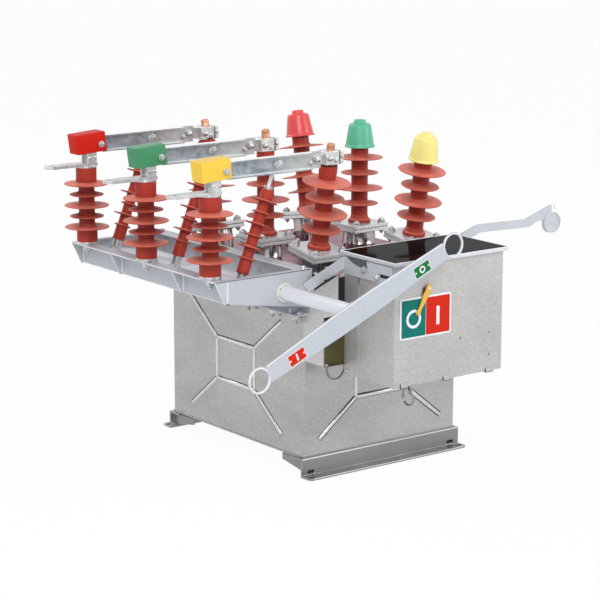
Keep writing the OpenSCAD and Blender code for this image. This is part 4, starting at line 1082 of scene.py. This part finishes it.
def make_neck_lining():
    """Olive bracket, its dark olive partly zinc colour and partly painted shade, and black panels and blocks as painted
    shade in the opening inside the neck's front, with bolts.
    """
    olive = Build("neck_olive_bracket", "olive", bevel=0.4)
    dark = Build("neck_opening_painted_shade", "blackout", bevel=0.4)
    bolts = Build("neck_bracket_bolts", "bright_zinc")
    front, wall, right, base, top = cover_high.y, neck_low.x, cover_low.x, COVER_BASE, cover_high.z
    left, split = wall + 3.2, base + 138
    olive.block((left, front - 1.6, base + 28), (right + 2, front - 0.2, split))
    olive.block((left, front - 9, base + 28), (right - 2, front - 0.2, base + 30))
    # Black panels and blocks in the neck's opening: painted shade.
    dark.block((left, front - 1.4, split), (right + 2, front - 0.2, top - 60))
    dark.block((wall + 3.1, front - 58, split + 30), (wall + 3.9, front + 2, top - 62))
    for y in (front - 22, front - 42):
        dark.block((wall + 3.5, y - 8, split - 4), (wall + 26, y + 8, split + 16))
    bolts.dome_nut(stand((wall + 14, front - 36, split + 16)), 9, 5, 6)
    bolts.bolt(stand((left + 6, front - 1.6, base + 31), FRONT), 7, 3, 4.6)
    bolts.bolt(stand((right, front - 14, base + 10), LEFT), 8, 3, 5.2)


def make_handle_details():
    """Dished end plate of the charging handle with a painted highlight round its rim, its tab and hook, and the bolt of
    its hub.
    """
    dish = Build("handle_dish", "handle_paint", "charging_handle", sharp=35)
    rim = Build("handle_rim_highlight_and_hook", "edge_paint", "charging_handle", sharp=60)
    hub = Build("handle_hub_bolt", "bright_zinc", "charging_handle")
    pivot = Vector((cover_high.x - 25, cover_high.y + 25, cover_high.z - 68))
    facing = stand(pivot + Vector((420, -10, 67)), FRONT)
    plate = [(30.4, -13.5), (30.6, -1), (29.6, 0.6), (28.4, 0.2), (26.5, -2.2), (18, -3.4), (0, -3.9)]
    dish.lathe(plate, facing, 56)
    # Bright ring round the disc's rim: a painted highlight.
    rim.hoop([(29.4, 0.2), (30.4, 1.2), (31.0, 0.2), (31.0, -1.2), (30.2, -1.2)], facing, 56)
    hub.bolt(stand(pivot + Vector((0, 12, 0)), BACK), 17, 6, 12)
    tab = ((368, 75.5), (392, 77), (397, 86), (406, 93), (420, 96.5), (420, 100), (368, 80))
    dish.prism([(pivot.x + x, pivot.z + z) for x, z in tab], pivot.y - 4.2, pivot.y + 4.2, SWAP_Y_Z)
    hook = ((418, -2, 116), (424, -3, 119), (430, -3, 117), (432, -3, 110), (430, -3, 104))
    rim.tube([pivot + Vector(v) for v in hook], 2.4, 10)


def make_rings():
    """Second turn of each split ring."""
    for name, out, level in (("front", RIGHT, BACK), ("side", FRONT, RIGHT)):
        low, high = corners("pull_ring_" + name)
        centre = (low + high) / 2 + Vector(out) * 2.8
        path = [centre + Vector(level) * a + Vector((0, 0, z)) for a, z in circle((high.z - low.z) / 2 - 3.6, 48)]
        turn = Build("ring_" + name + "_second_turn", "dark_wire", "ring_" + name, sharp=80)
        turn.tube(path, 1.7, 8, loop=True)


bpy.context.scene.view_settings.view_transform = "Standard"
make_camera()
make_world()
make_floor()
make_lamp("key", (-2.7, -3.2, 3.6), 2.6, 112)
make_lamp("fill", (2.8, -3.6, 2.4), 2.6, 55)
make_lamp("rim", (-1.5, 3.5, 3.2), 2.0, 50)
dress_frame()
make_beads()
make_flange_details()
make_feet()
make_caps()
make_contacts()
make_post_details()
for key, number in PHASES.items():
    make_hinge_box(key)
    make_blade_bolts(key)
    make_link_bolts(key, number)
make_frame_details()
make_shaft_details()
make_stickers()
make_sign()
make_pointer()
make_cover_details()
make_lid()
make_band_details()
make_neck_lining()
make_handle_details()
make_rail_details()
make_rings()
for build in Build.every:
    build.piece()
